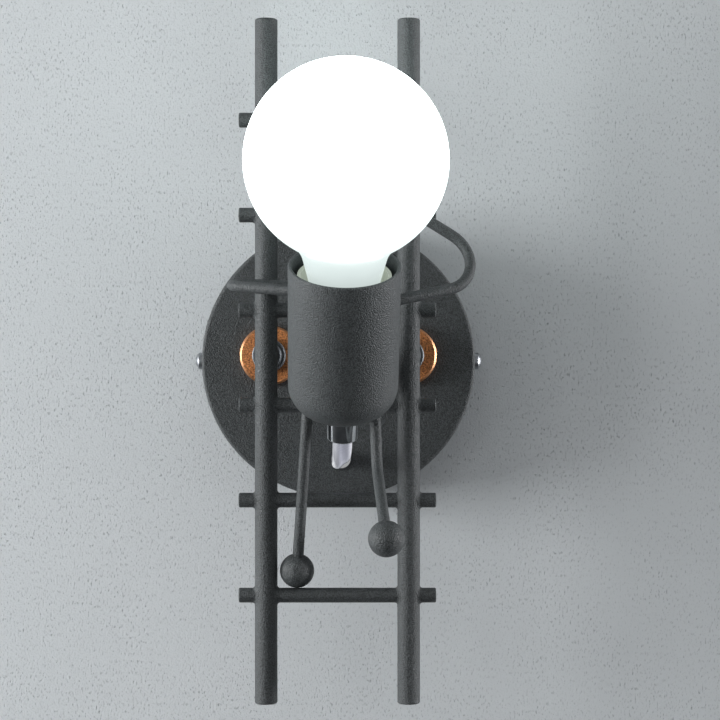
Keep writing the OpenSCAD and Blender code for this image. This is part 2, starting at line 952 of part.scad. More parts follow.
// Lower half of the lampholder, screwed onto the spigot
module holder_cap() {
  lap_r = holder_d / 2 - holder_wall;
  color(cream)
    on_lamp()
      translate([0, 0, holder_foot])
        difference() {
          rotate_extrude()
            difference() {
              union() {
                cup_outline(holder_d / 2, holder_cap_l - skirt_lap, holder_floor);
                square([lap_r, holder_cap_l]);
              }
              translate([0, holder_floor])
                square([lap_r - holder_wall - fit, holder_cap_l]);
            }
          translate([0, 0, -over])
            cylinder(r = spigot_d / 2 + fit, h = holder_floor + 2 * over);
        }
}

// Upper half of the lampholder, the pale collar in the cup's mouth
module holder_skirt() {
  foot = holder_top - skirt_lap;
  color(cream)
    on_lamp()
      translate([0, 0, foot])
        tube(holder_d / 2, holder_d / 2 - holder_wall + fit, skirt_top - foot);
}

module holder_insert() {
  color(cream)
    on_lamp()
      difference() {
        translate([0, 0, insert_foot])
          cylinder(d = insert_d, h = insert_t);
        for (side = [-1, 1])
          translate([side * terminal_x, -terminal_y, insert_foot - over])
            cylinder(r = terminal_d / 2 + fit, h = insert_t + 2 * over);
      }
}

// Threaded metal shell that takes the bulb's cap
module screw_shell() {
  color(brass)
    on_lamp()
      translate([0, 0, insert_top]) {
        difference() {
          cylinder(r = shell_d / 2 + shell_flange, h = shell_t);
          translate([0, 0, -over])
            cylinder(r = shell_d / 2 - shell_flange, h = shell_t + 2 * over);
          for (side = [-1, 1])
            translate([side * terminal_x, -terminal_y, -over])
              cylinder(d = terminal_head_d, h = shell_t + 2 * over);
        }
        tube(shell_d / 2, shell_d / 2 - shell_t, shell_l);
      }
}

// Sprung tongue under the bulb's end contact
module centre_contact() {
  color(brass)
    on_lamp()
      translate([0, 0, insert_top])
        rotate([90, 0, 0])
          linear_extrude(tongue_w, center = true) {
            square([tongue_l / 2, contact_t]);
            square([contact_t, contact_rise + contact_t]);
            translate([-tongue_l / 2, contact_rise])
              square([tongue_l / 2 + contact_t, contact_t]);
          }
}

module holder_terminal_screws() {
  color(steel)
    on_lamp()
      for (side = [-1, 1])
        translate([side * terminal_x, -terminal_y, insert_foot - terminal_head_h])
          difference() {
            union() {
              cylinder(d = terminal_head_d, h = terminal_head_h);
              cylinder(d = terminal_d, h = terminal_head_h + terminal_length);
            }
            mirror([0, 0, 1])
              cross_recess(terminal_head_d, terminal_head_h / 2);
          }
}

// One point of the smooth curve through b and c, at the share t of the way
function curve(a, b, c, d, t) =
  0.5 * (2 * b + (c - a) * t + (2 * a - 5 * b + 4 * c - d) * t * t + (3 * b - a - 3 * c + d) * t * t * t);

function curve_points(p, steps) = [
  for (i = [0 : len(p) - 2], k = [0 : steps - 1])
    curve(p[max(i - 1, 0)], p[i], p[i + 1], p[min(i + 2, len(p) - 1)], k / steps),
  p[len(p) - 1]
];

// Outline of a twin flex: two round lobes with a groove between them
waist_share = 0.37;
lobe_turns = [-72, -36, 0, 36, 72];
function flex_outline(w, t) = concat(
  [for (a = lobe_turns) [(w - t) / 2 + cos(a) * t / 2, sin(a) * t / 2]],
  [[0, waist_share * t]],
  [for (a = lobe_turns) [(t - w) / 2 - cos(a) * t / 2, -sin(a) * t / 2]],
  [[0, -waist_share * t]]
);

// Way of a line of points at point i
function line_way(line, i) =
  let (last = len(line) - 1)
  unit(
    (i < last ? unit(line[i + 1] - line[i]) : [0, 0, 0]) + (i > 0 ? unit(line[i] - line[i - 1]) : [0, 0, 0])
  );

// The part of a direction that is square to a way
function square_to(direction, way) = unit(direction - (direction * way) * way);

// Sweeps an outline along a line of points, with the outline's first axis as near as can be to across
module sweep(line, outline, across) {
  n = len(line);
  m = len(outline);
  ways = [for (i = [0 : n - 1]) line_way(line, i)];
  firsts = [
    for (i = 0, first = square_to(across, ways[0]); i < n; i = i + 1, first = square_to(first, ways[min(i, n - 1)]))
      first
  ];
  points = [
    for (i = [0 : n - 1], q = outline)
      line[i] + firsts[i] * q[0] + cross(ways[i], firsts[i]) * q[1]
  ];
  sides = [
    for (i = [0 : n - 2], j = [0 : m - 1])
      let (a = i * m + j, b = i * m + (j + 1) % m)
      each [[a, a + m, b + m], [a, b + m, b]]
  ];
  ends = [
    [for (j = [0 : m - 1]) j],
    [for (j = [0 : m - 1]) n * m - 1 - j]
  ];
  polyhedron(points = points, faces = concat(sides, ends), convexity = 6);
}

// Where the flex's right lobe points at the start of its route
function flex_across() =
  let (way = unit(flex_route[1] - flex_route[0]))
  [1, 0, 0] * cos(flex_turn) + cross([1, 0, 0], way) * sin(flex_turn);

module flex_cord() {
  color(vinyl)
    sweep(curve_points(flex_route, flex_steps), flex_outline(flex_w, flex_t), flex_across());
}

module flex_cores_canopy() {
  color(steel) {
    bent_rod(core_path_1, core_d, core_bend, core_sides);
    bent_rod(core_path_2, core_d, core_bend, core_sides);
  }
}

// The two cores from the flex's upper end to the lampholder's terminals
module flex_cores_holder() {
  finish = insert_foot - terminal_head_h - rest_gap - core_d / 2;
  spread = (flex_w - flex_t) / 2;
  color(steel)
    on_lamp()
      for (side = [-1, 1])
        let (foot = side * spread * [cos(flex_turn), sin(flex_turn)])
        bent_rod(
          [
            [foot[0], foot[1], cores_at],
            [foot[0], foot[1], cores_at + cores_rise],
            [side * terminal_x * core_spread_share, -terminal_y * core_side_share, finish]
          ],
          core_d, core_bend, core_sides
        );
}

// Points of the glass from the globe's top down to the neck's foot, inset from its outer face
function globe_points(inset) =
  let (
    r = bulb_d / 2 - inset,
    blend_r = neck_blend + inset,
    low = atan2(blend_z, blend_x)
  )
  [
    for (k = [0 : globe_steps])
      let (a = 90 + (low - 90) * k / globe_steps)
      r * [cos(a), sin(a)],
    for (k = [1 : blend_steps])
      let (a = low + 180 - low * k / blend_steps)
      [blend_x, blend_z] + blend_r * [cos(a), sin(a)],
    [neck_d / 2 - inset, globe_foot]
  ];

function reversed(list) = [for (i = [len(list) - 1 : -1 : 0]) list[i]];

module bulb_globe() {
  color(opal)
    on_lamp()
      translate([0, 0, bulb_at])
        rotate_extrude()
          polygon(concat(globe_points(0), reversed(globe_points(glass_t))));
}

// Screw cap of the bulb, from its taper at the foot to the glass
module bulb_cap() {
  foot = tip_at + tip_l + insulator_l;
  color(steel)
    on_lamp()
      translate([0, 0, foot])
        difference() {
          union() {
            cylinder(d1 = insulator_d, d2 = cap_d, h = cap_taper);
            translate([0, 0, cap_taper])
              cylinder(d = cap_d, h = cap_l - cap_taper);
          }
          translate([0, 0, cap_t])
            cylinder(d1 = insulator_d - 2 * cap_t, d2 = cap_d - 2 * cap_t, h = cap_taper);
          translate([0, 0, cap_taper + cap_t])
            cylinder(d = cap_d - 2 * cap_t, h = cap_l);
        }
}

module bulb_insulator() {
  color(rubber)
    on_lamp()
      translate([0, 0, tip_at + tip_l])
        cylinder(d1 = tip_d, d2 = insulator_d, h = insulator_l);
}

module bulb_contact() {
  color(brass)
    on_lamp()
      translate([0, 0, tip_at])
        cylinder(d1 = tip_d - tip_l, d2 = tip_d, h = tip_l);
}

// Round board with the light source, on the driver in the bulb's neck
module led_board() {
  color(cream)
    on_lamp()
      translate([0, 0, bulb_at + globe_foot + board_up])
        cylinder(d = board_d, h = board_t);
}

module led_driver() {
  foot = tip_at + tip_l + insulator_l + cap_taper + cap_t;
  color(steel)
    on_lamp()
      translate([0, 0, foot])
        cylinder(d = driver_d, h = bulb_at + globe_foot + board_up - foot);
}

rail(-1);  // rail_left
rail(1);  // rail_right
rung(1);  // rung_1
rung(2);  // rung_2
rung(3);  // rung_3
rung(4);  // rung_4
rung(5);  // rung_5
rung(6);  // rung_6
standoff_post(-1);  // standoff_post_left
standoff_post(1);  // standoff_post_right
standoff_hub(-1);  // standoff_hub_left
standoff_hub(1);  // standoff_hub_right
copper_ring(-1);  // copper_ring_left
copper_ring(1);  // copper_ring_right
standoff_washers();
standoff_nuts();
canopy_shell();
canopy_grommet();
canopy_side_screws();
wall_bracket();
terminal_block();
terminal_clamps();
terminal_screws();
block_screw();
earth_screw();
earth_washer();
lamp_cup();
arm_left();
arm_right();
leg_left();
leg_right();
foot_left();
foot_right();
cord_grip();
grip_screw();
locknut();
holder_cap();
holder_skirt();
holder_insert();
screw_shell();
centre_contact();
holder_terminal_screws();
flex_cord();
flex_cores_canopy();
flex_cores_holder();
bulb_globe();
bulb_cap();
bulb_insulator();
bulb_contact();
led_board();
led_driver();
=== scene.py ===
# %% [markdown]
# # A climbing lamp figure on a small ladder
# This lesson dresses a wall sconce for its portrait. The engineering model comes first and
# is loaded as a fixed frame: every rail, rung, screw and wire is already there at its real
# size, in metres, with the wall as the plane y = 0. We only add finishes and the finer
# forms, such as weld fillets, a rolled thread and smooth glass, in that same space.

# %% Load the frame
import json
import math
import bpy
from mathutils import Matrix, Vector


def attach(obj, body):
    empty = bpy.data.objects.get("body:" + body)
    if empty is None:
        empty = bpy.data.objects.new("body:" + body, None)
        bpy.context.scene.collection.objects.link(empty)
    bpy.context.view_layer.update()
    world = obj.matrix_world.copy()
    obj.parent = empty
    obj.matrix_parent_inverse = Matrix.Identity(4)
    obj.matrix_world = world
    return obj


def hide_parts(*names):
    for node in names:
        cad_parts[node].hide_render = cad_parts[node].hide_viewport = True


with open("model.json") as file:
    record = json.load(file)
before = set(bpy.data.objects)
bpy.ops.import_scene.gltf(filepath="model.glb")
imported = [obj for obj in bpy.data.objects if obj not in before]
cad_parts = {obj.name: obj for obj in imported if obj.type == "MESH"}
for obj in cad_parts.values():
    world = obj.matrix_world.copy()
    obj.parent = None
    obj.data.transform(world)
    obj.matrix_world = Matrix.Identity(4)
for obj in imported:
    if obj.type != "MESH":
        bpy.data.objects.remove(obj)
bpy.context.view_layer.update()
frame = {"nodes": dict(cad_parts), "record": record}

# %% [markdown]
# ## The sizes that the new pieces share
# New pieces have to sit exactly on the engineering model, so their sizes are the same
# ones. Writing them once, in millimetres, keeps the drawing readable. The lamp leans out
# of the ladder, so it is drawn upright in a frame of its own and then placed as a whole.

# %% Sizes and the lamp's own frame
MM = 0.001
RAIL_D, RAIL_SPACING, LADDER_OUT = 9.5, 60, 58
RUNG_D, RUNG_PITCH, RUNGS_RISE, RUNG_COUNT = 6.2, 40, 1.5, 6
CUP_D, CUP_L, CUP_WALL, CUP_ROUND = 45, 66, 1.5, 13
CUP_FOOT = (2.4, -77.5, -20.7)
CUP_TILT, CUP_LEAN = 27, 1
ROD_D, POST_R = 4.6, 3.5
# The gap between pieces that only just clear each other
PLAY = 0.05
STANDOFF_Z, CANOPY_DEPTH = 2.5, 24

lamp_frame = (
    Matrix.Translation(Vector(CUP_FOOT) * MM)
    @ Matrix.Rotation(math.radians(CUP_LEAN), 4, "Y")
    @ Matrix.Rotation(math.radians(CUP_TILT), 4, "X")
)
into_lamp = lamp_frame.inverted()
lamp_axis = (lamp_frame.to_3x3() @ Vector((0, 0, 1))).normalized()
print("the cup leans along", tuple(round(c, 4) for c in lamp_axis))

# %% [markdown]
# ## The camera
# The photograph was taken from straight in front, with the picture's centre almost on the
# canopy's centre. The ends of the rails show a little of their edges, which tells how near
# the camera was: about 86 cm from the wall with a short telephoto lens. Setting the camera
# first means that every later render can be compared with the photograph.

# %% Camera
CAMERA_PLACE = (9.5, -858, 0.5)
CAMERA_LENS, CAMERA_SENSOR = 95, 36
bpy.ops.object.camera_add(location=Vector(CAMERA_PLACE) * MM, rotation=(math.radians(90), 0, 0))
camera = bpy.context.object
camera.name = "portrait_camera"
camera.data.lens = CAMERA_LENS
camera.data.sensor_width = CAMERA_SENSOR
camera.data.clip_start = 0.01
bpy.context.scene.camera = camera
print("camera at", tuple(round(c, 3) for c in camera.location), "lens", camera.data.lens)

# %% [markdown]
# ## Helpers for materials
# Colours are easiest to note as the hex values that a screen shows, but shaders work in
# linear light, so one function turns one into the other. A second one adds a shader node
# together with its settings and its links, which keeps each material short. A socket whose
# name occurs twice is called by its number: a Mix node of colours has its factor in 0, its
# colours in 6 and 7 and its result in output 2. Every pattern is sized from the real width
# of its marks in millimetres and reads Object coordinates, so it stays on its piece.

# %% Colour and shader helpers
def linear(hex_colour):
    parts = [int(hex_colour[i:i + 2], 16) / 255 for i in (1, 3, 5)]
    parts = [c / 12.92 if c <= 0.04045 else ((c + 0.055) / 1.055) ** 2.4 for c in parts]
    return (*parts, 1.0)


def wire(tree, node, links):
    for socket, source in links.items():
        tree.links.new(source, node.inputs[socket])


def add(tree, kind, settings=None, links=None):
    """A new node; kind is its type without the word ShaderNode in front."""
    made = tree.nodes.new("ShaderNode" + kind)
    for name, value in (settings or {}).items():
        if isinstance(name, str) and hasattr(made, name):
            setattr(made, name, value)
        else:
            made.inputs[name].default_value = value
    wire(tree, made, links or {})
    return made


def new_finish(name, **values):
    material = bpy.data.materials.new(name)
    material.use_nodes = True
    shader = material.node_tree.nodes["Principled BSDF"]
    for socket, value in values.items():
        shader.inputs[socket.replace("_", " ")].default_value = value
    return material, material.node_tree, shader


def place_of(tree):
    return add(tree, "TexCoord").outputs["Object"]


def marks_of(width_mm):
    """The scale of a pattern whose marks are about this wide."""
    return 1 / (width_mm * MM)


print("helpers ready")

# %% [markdown]
# ## Charcoal powder coat
# The ladder, the canopy and the figure are steel with a polyester powder coat that was
# sprayed on dry and baked. Baked powder stays a little lumpy, so it shows a fine grit of
# 0.2 to 0.3 mm on top of a wider orange peel, and it scatters light softly. Such grit is
# finer than one pixel of this picture, so it is drawn at 0.45 mm. Noise gives the grit,
# because its lumps have no rows, and the same noise drives tone, gloss and bump.

# %% Powder coat
def powder_coat():
    material, tree, shader = new_finish("charcoal_powder_coat", Roughness=0.56, IOR=1.5)
    place = place_of(tree)
    grit = add(tree, "TexNoise", {"Scale": marks_of(0.45), "Detail": 0.0}, {"Vector": place})
    peel = add(tree, "TexNoise", {"Scale": marks_of(4), "Detail": 2.0}, {"Vector": place})
    cloud = add(tree, "TexNoise", {"Scale": marks_of(45), "Detail": 3.0}, {"Vector": place})
    speck = add(tree, "MapRange", {"From Min": 0.32, "From Max": 0.68}, {"Value": grit.outputs["Fac"]})
    tone = add(tree, "Mix", {"data_type": "RGBA", 6: linear("#292C2D"), 7: linear("#4E5253")},
               {0: speck.outputs["Result"]})
    wide = add(tree, "MapRange", {"From Min": 0.3, "From Max": 0.7, "To Min": 0.92, "To Max": 1.08},
               {"Value": cloud.outputs["Fac"]})
    shade = add(tree, "HueSaturation", {}, {"Color": tone.outputs[2], "Value": wide.outputs["Result"]})
    gloss = add(tree, "MapRange", {"From Min": 0.3, "From Max": 0.7, "To Min": 0.42, "To Max": 0.7},
                {"Value": grit.outputs["Fac"]})
    lumps = add(tree, "Bump", {"Strength": 1.0, "Distance": 0.3 * MM}, {"Height": grit.outputs["Fac"]})
    both = add(tree, "Bump", {"Strength": 0.5, "Distance": 0.15 * MM},
               {"Height": peel.outputs["Fac"], "Normal": lumps.outputs["Normal"]})
    wire(tree, shader, {"Base Color": shade.outputs["Color"], "Roughness": gloss.outputs["Result"],
                        "Normal": both.outputs["Normal"]})
    return material


coat = powder_coat()
print("made", coat.name)

# %% [markdown]
# ## Copper rings: lacquered face and bright edge
# The two rings behind the rails are copper-coloured. Their faces are a mottled brown, as
# copper lacquer over cast or brushed metal is, while the thin bevel round each face was cut
# last and stays bright. One finish with a mask could do both, but two finishes, one for
# each kind of face, are easier to read and to change.

# %% Copper finishes
def copper_face():
    material, tree, shader = new_finish("speckled_copper_lacquer", Metallic=0.3, Roughness=0.48)
    place = place_of(tree)
    fleck = add(tree, "TexNoise", {"Scale": marks_of(0.8), "Detail": 3.0, "Roughness": 0.65},
                {"Vector": place})
    cloud = add(tree, "TexNoise", {"Scale": marks_of(6), "Detail": 3.0}, {"Vector": place})
    spread = add(tree, "MapRange", {"From Min": 0.34, "From Max": 0.62}, {"Value": fleck.outputs["Fac"]})
    brown = add(tree, "Mix", {"data_type": "RGBA", 6: linear("#5E3018"), 7: linear("#EC9C5E")},
                {0: spread.outputs["Result"]})
    dark = add(tree, "MapRange", {"From Min": 0.35, "From Max": 0.65, "To Min": 0.88, "To Max": 1.12},
               {"Value": cloud.outputs["Fac"]})
    mottled = add(tree, "HueSaturation", {},
                  {"Color": brown.outputs[2], "Value": dark.outputs["Result"]})
    gloss = add(tree, "MapRange", {"From Min": 0.3, "From Max": 0.7, "To Min": 0.4, "To Max": 0.6},
                {"Value": fleck.outputs["Fac"]})
    dents = add(tree, "Bump", {"Strength": 0.5, "Distance": 0.12 * MM}, {"Height": fleck.outputs["Fac"]})
    wire(tree, shader, {"Base Color": mottled.outputs["Color"], "Roughness": gloss.outputs["Result"],
                        "Normal": dents.outputs["Normal"]})
    return material


def copper_edge():
    material, tree, shader = new_finish("bright_cut_copper", Metallic=1.0, Roughness=0.4)
    streak = add(tree, "TexNoise", {"Scale": marks_of(0.8), "Detail": 2.0}, {"Vector": place_of(tree)})
    tone = add(tree, "Mix", {"data_type": "RGBA", 6: linear("#A87350"), 7: linear("#D9A47C")},
               {0: streak.outputs["Fac"]})
    gloss = add(tree, "MapRange", {"To Min": 0.34, "To Max": 0.46}, {"Value": streak.outputs["Fac"]})
    wire(tree, shader, {"Base Color": tone.outputs[2], "Roughness": gloss.outputs["Result"]})
    return material


ring_lacquer, ring_bright = copper_face(), copper_edge()
print("made", ring_lacquer.name, "and", ring_bright.name)

# %% [markdown]
# ## Metals: plated, polished and rolled
# Small hardware is told apart by how it was made. Nuts, bracket and screws are zinc plated,
# which is cloudy. The cord grip is polished chrome, and the two side screws have a satin
# nickel plate. The terminals are bare brass and the bulb's cap is rolled aluminium. One
# function serves them all, because only the tones, the gloss and the marks' width differ.

# %% Metal finishes
def metal(name, low, high, rough_low, rough_high, mark_mm, dent_mm):
    material, tree, shader = new_finish(name, Metallic=1.0, Roughness=(rough_low + rough_high) / 2)
    marks = add(tree, "TexNoise", {"Scale": marks_of(mark_mm), "Detail": 4.0, "Roughness": 0.6},
                {"Vector": place_of(tree)})
    spread = add(tree, "MapRange", {"From Min": 0.3, "From Max": 0.7}, {"Value": marks.outputs["Fac"]})
    tone = add(tree, "Mix", {"data_type": "RGBA", 6: linear(low), 7: linear(high)},
               {0: spread.outputs["Result"]})
    gloss = add(tree, "MapRange", {"To Min": rough_low, "To Max": rough_high},
                {"Value": spread.outputs["Result"]})
    dents = add(tree, "Bump", {"Strength": 0.3, "Distance": dent_mm * MM},
                {"Height": marks.outputs["Fac"]})
    wire(tree, shader, {"Base Color": tone.outputs[2], "Roughness": gloss.outputs["Result"],
                        "Normal": dents.outputs["Normal"]})
    return material


zinc = metal("zinc_plated_steel", "#9A9DA1", "#C9CCD0", 0.28, 0.45, 2.5, 0.03)
chrome = metal("polished_chrome", "#C8CBCE", "#E4E6E8", 0.05, 0.10, 3.0, 0.004)
brass = metal("bare_brass", "#B08D45", "#D9BC72", 0.22, 0.38, 1.6, 0.02)
cap_metal = metal("rolled_aluminium_cap", "#A9ADB1", "#D4D7DA", 0.22, 0.36, 1.4, 0.015)
screw_metal = metal("nickel_plated_screw", "#8F9296", "#B9BCC0", 0.3, 0.42, 1.2, 0.01)
print("made", [m.name for m in (zinc, chrome, brass, cap_metal, screw_metal)])

# %% [markdown]
# ## Lathe-turned steel
# The hubs come off a lathe, so a fine groove runs round their axis. A wave texture in rings
# draws that. Both hubs share one material: taking x as a positive distance folds the left
# hub onto the right one, and a Mapping node then moves the rings' centre to the hub's axis.
# Real grooves are about 0.1 mm apart, too fine for this picture, so they are drawn coarser.

# %% Turned steel
def turned_metal(name, low, high):
    material, tree, shader = new_finish(name, Metallic=1.0, Roughness=0.3)
    side = add(tree, "VectorMath", {"operation": "ABSOLUTE"}, {0: place_of(tree)})
    centred = add(tree, "Mapping", {"Location": (-RAIL_SPACING / 2 * MM, 0, -STANDOFF_Z * MM)},
                  {"Vector": side.outputs["Vector"]})
    rings = add(tree, "TexWave",
                {"wave_type": "RINGS", "rings_direction": "Y", "Scale": marks_of(0.9) / 3,
                 "Distortion": 0.4, "Detail": 2.0, "Detail Scale": 2.0},
                {"Vector": centred.outputs["Vector"]})
    tone = add(tree, "Mix", {"data_type": "RGBA", 6: linear(low), 7: linear(high)},
               {0: rings.outputs["Fac"]})
    gloss = add(tree, "MapRange", {"To Min": 0.46, "To Max": 0.6}, {"Value": rings.outputs["Fac"]})
    grooves = add(tree, "Bump", {"Strength": 0.3, "Distance": 0.02 * MM},
                  {"Height": rings.outputs["Fac"]})
    wire(tree, shader, {"Base Color": tone.outputs[2], "Roughness": gloss.outputs["Result"],
                        "Normal": grooves.outputs["Normal"]})
    return material


hub_metal = turned_metal("lathe_turned_steel", "#4C4F52", "#7F8285")
print("made", hub_metal.name)

# %% [markdown]
# ## Plastics and rubber
# The lampholder is moulded in a cream thermoplastic that resists heat, with a faint flow
# cloud and a satin skin. Its tone is painted darker and greener than cream: painted teal
# light from the bulb and painted shade inside the cup. The bush in the canopy is black
# rubber, which looks charcoal. The bulb's insulator is black glass. They all come out of a
# mould, so one function gives them a wide cloud in the tone and a fine grain in the gloss
# and the bump.

# %% Moulded finishes
def moulded(name, low, high, rough):
    material, tree, shader = new_finish(name, Roughness=rough)
    place = place_of(tree)
    grain = add(tree, "TexNoise", {"Scale": marks_of(0.7), "Detail": 2.0}, {"Vector": place})
    flow = add(tree, "TexNoise", {"Scale": marks_of(9), "Detail": 3.0}, {"Vector": place})
    tone = add(tree, "Mix", {"data_type": "RGBA", 6: linear(low), 7: linear(high)},
               {0: flow.outputs["Fac"]})
    gloss = add(tree, "MapRange", {"To Min": rough - 0.06, "To Max": rough + 0.08},
                {"Value": grain.outputs["Fac"]})
    skin = add(tree, "Bump", {"Strength": 0.25, "Distance": 0.03 * MM}, {"Height": grain.outputs["Fac"]})
    wire(tree, shader, {"Base Color": tone.outputs[2], "Roughness": gloss.outputs["Result"],
                        "Normal": skin.outputs["Normal"]})
    return material


# The holder's greenish, darker tone is painted light and shade: the bulb's teal light and the shade in the
# cup
holder_plastic = moulded("cream_thermoplastic_painted_bulb_tint", "#CBCDBD", "#DADCCE", 0.42)
rubber = moulded("moulded_black_rubber", "#26282A", "#34373A", 0.62)
board_white = moulded("white_potted_board", "#DADAD4", "#ECECE8", 0.5)
insulator = moulded("black_glass_insulator", "#08090A", "#121315", 0.15)
core_vinyl = moulded("silver_grey_core_insulation", "#A6A9B2", "#C3C6CE", 0.32)
print("made", [m.name for m in (holder_plastic, rubber, board_white, insulator, core_vinyl)])

# %% [markdown]
# ## Clear vinyl over two cores
# The flex is clear vinyl over silvery cores, so it looks whitish with a darker line where
# the two cores meet; that line is painted shade in their groove. Real glass-like vinyl
# would need refraction and many samples. A pale tone that follows the flex's own surface
# map and has a painted highlight at its two outer edges, a thin glossy coat and a trace of
# painted glow look the same from here. X of the map goes once round the outline, which is
# about 22 mm, and Y once along the flex, which is 116 mm, so the patterns are sized in
# shares of those.

# %% Clear vinyl
def clear_vinyl():
    material, tree, shader = new_finish("clear_vinyl_painted_glow_shade", Roughness=0.18, IOR=1.53,
                                        Coat_Weight=0.6)
    # Painted glow: the flex shines a little though it is no lamp, so it is brighter than its surroundings
    shader.inputs["Emission Color"].default_value = linear("#D8DAEC")
    shader.inputs["Emission Strength"].default_value = 0.14
    surface = add(tree, "UVMap").outputs["UV"]
    across = add(tree, "SeparateXYZ", {}, {"Vector": surface})
    # Painted light and shade: the tone is darkest in the groove where the cores meet and
    # lightest at the two outer edges, so it goes up and down twice round the outline
    turns = add(tree, "Math", {"operation": "MULTIPLY", 1: 4 * math.pi}, {0: across.outputs["X"]})
    groove_shade_edge_highlight = add(tree, "Math", {"operation": "COSINE"}, {0: turns.outputs["Value"]})
    drawn_out = add(tree, "Mapping", {"Scale": (1, 9, 1)}, {"Vector": surface})
    strand = add(tree, "TexWave", {"bands_direction": "DIAGONAL", "Scale": 9.0, "Distortion": 1.5},
                 {"Vector": drawn_out.outputs["Vector"]})
    fine = add(tree, "Math", {"operation": "MULTIPLY", 1: 0.25}, {0: strand.outputs["Fac"]})
    height = add(tree, "MapRange", {"From Min": -1.0, "From Max": 1.0, "To Min": 0.0, "To Max": 0.75},
                 {"Value": groove_shade_edge_highlight.outputs["Value"]})
    blend = add(tree, "Math", {"operation": "ADD"},
                {0: height.outputs["Result"], 1: fine.outputs["Value"]})
    tone = add(tree, "Mix", {"data_type": "RGBA", 6: linear("#B9BBCB"), 7: linear("#FFFFFF")},
               {0: blend.outputs["Value"]})
    wire(tree, shader, {"Base Color": tone.outputs[2]})
    return material


flex_vinyl = clear_vinyl()
print("made", flex_vinyl.name)

# %% [markdown]
# ## The lit opal globe
# The globe is opal glass with a light inside, and the photograph shows it switched on and
# almost pure white. Only the neck, which lies behind the light source, is dimmer. A lamp
# inside real glass would be slow and noisy, so the glass itself glows, in two steps along
# the lamp's axis: a weak glow that rises slowly in the neck, and a strong one that starts
# where the ball does. Heights are in millimetres from the cup's foot.

# %% Opal glass
NECK_GLOW_FROM, NECK_GLOW_TO = 60, 80
BALL_GLOW_FROM, BALL_GLOW_TO = 78, 135


def opal_glass():
    material, tree, shader = new_finish("lit_opal_glass", Roughness=0.24, IOR=1.5)
    shader.inputs["Base Color"].default_value = linear("#4A4E4D")
    along = add(tree, "VectorMath", {"operation": "DOT_PRODUCT", 1: lamp_axis}, {0: place_of(tree)})
    foot = lamp_axis.dot(lamp_frame.to_translation())
    neck = add(tree, "MapRange",
               {"From Min": foot + NECK_GLOW_FROM * MM, "From Max": foot + NECK_GLOW_TO * MM,
                "To Min": 0.094, "To Max": 0.17},
               {"Value": along.outputs["Value"]})
    ball = add(tree, "MapRange",
               {"interpolation_type": "SMOOTHSTEP", "From Min": foot + BALL_GLOW_FROM * MM,
                "From Max": foot + BALL_GLOW_TO * MM, "To Min": 0.0, "To Max": 0.85},
               {"Value": along.outputs["Value"]})
    glow = add(tree, "Math", {"operation": "ADD"},
               {0: neck.outputs["Result"], 1: ball.outputs["Result"]})
    haze = add(tree, "TexNoise", {"Scale": marks_of(14), "Detail": 2.0}, {"Vector": place_of(tree)})
    soft = add(tree, "MapRange", {"To Min": 0.96, "To Max": 1.04}, {"Value": haze.outputs["Fac"]})
    level = add(tree, "Math", {"operation": "MULTIPLY"},
                {0: glow.outputs["Value"], 1: soft.outputs["Result"]})
    light = add(tree, "Mix", {"data_type": "RGBA", 6: linear("#000000"), 7: linear("#F2FFFD")},
                {0: level.outputs["Value"]})
    wire(tree, shader, {"Emission Color": light.outputs[2]})
    shader.inputs["Emission Strength"].default_value = 6.0
    return material


opal = opal_glass()
print("made", opal.name)

# %% [markdown]
# ## Dress the engineering nodes
# Each node already knows which slot of the record its finish belongs to. Nodes keep their
# exact shape here; only the finish in their slot changes. The side screws share the chrome
# slot but are duller than the grip, so they get a finish of their own.

# %% Give every node its finish
slot_finish = {
    "powder_coat": coat, "zinc_steel": zinc, "turned_steel": hub_metal, "chrome": chrome,
    "copper_lacquer": ring_lacquer, "brass": brass, "holder_plastic": holder_plastic, "rubber": rubber,
    "clear_vinyl": flex_vinyl, "core_insulation": core_vinyl, "opal_glass": opal,
    "cap_aluminium": cap_metal, "black_insulator": insulator, "board_white": board_white,
}
slot_of = {part["node"]: part["material_slot"] for part in frame["record"]["subparts"]}
node_finish = {"canopy_side_screws": screw_metal}
for node_name, node in frame["nodes"].items():
    for held in node.material_slots:
        held.material = node_finish.get(node_name, slot_finish[slot_of[node_name]])
print("dressed", len(slot_of), "nodes in", len(slot_finish), "finishes")

# %% [markdown]
# ## Helpers for modelling by hand
# An operator in Blender acts on everything that is selected, so each piece starts from an
# empty selection. A finished piece keeps its place in its mesh, with its object at the
# origin, and rides on one body of the model. Modifiers are applied at once, so that the
# mesh is final and nothing depends on them later.

# %% Picking, smoothing and finishing a piece
def clear_selection():
    if bpy.context.object and bpy.context.object.mode != "OBJECT":
        bpy.ops.object.mode_set(mode="OBJECT")
    bpy.ops.object.select_all(action="DESELECT")


def pick(piece):
    clear_selection()
    piece.select_set(True)
    bpy.context.view_layer.objects.active = piece


def smooth_below(degrees):
    """Smooth shading on the picked piece; edges that turn more than this stay sharp."""
    bpy.ops.object.shade_smooth_by_angle(angle=math.radians(degrees))


def apply_modifier(piece, kind, **settings):
    pick(piece)
    modifier = piece.modifiers.new(kind, kind)
    for name, value in settings.items():
        setattr(modifier, name, value)
    bpy.ops.object.modifier_apply(modifier=modifier.name)


def finish_piece(piece, name, finish, body, place=None):
    """Place, name and finish a piece; with None as finish its faces keep what they have."""
    pick(piece)
    if place is not None:
        piece.matrix_world = place @ piece.matrix_world
    bpy.ops.object.transform_apply(location=True, rotation=True, scale=True)
    piece.name = name
    piece.data.name = name
    if finish is not None:
        piece.data.materials.clear()
        piece.data.materials.append(finish)
    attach(piece, body)
    print(name, len(piece.data.polygons), "faces")
    return piece


print("finishing helpers ready")

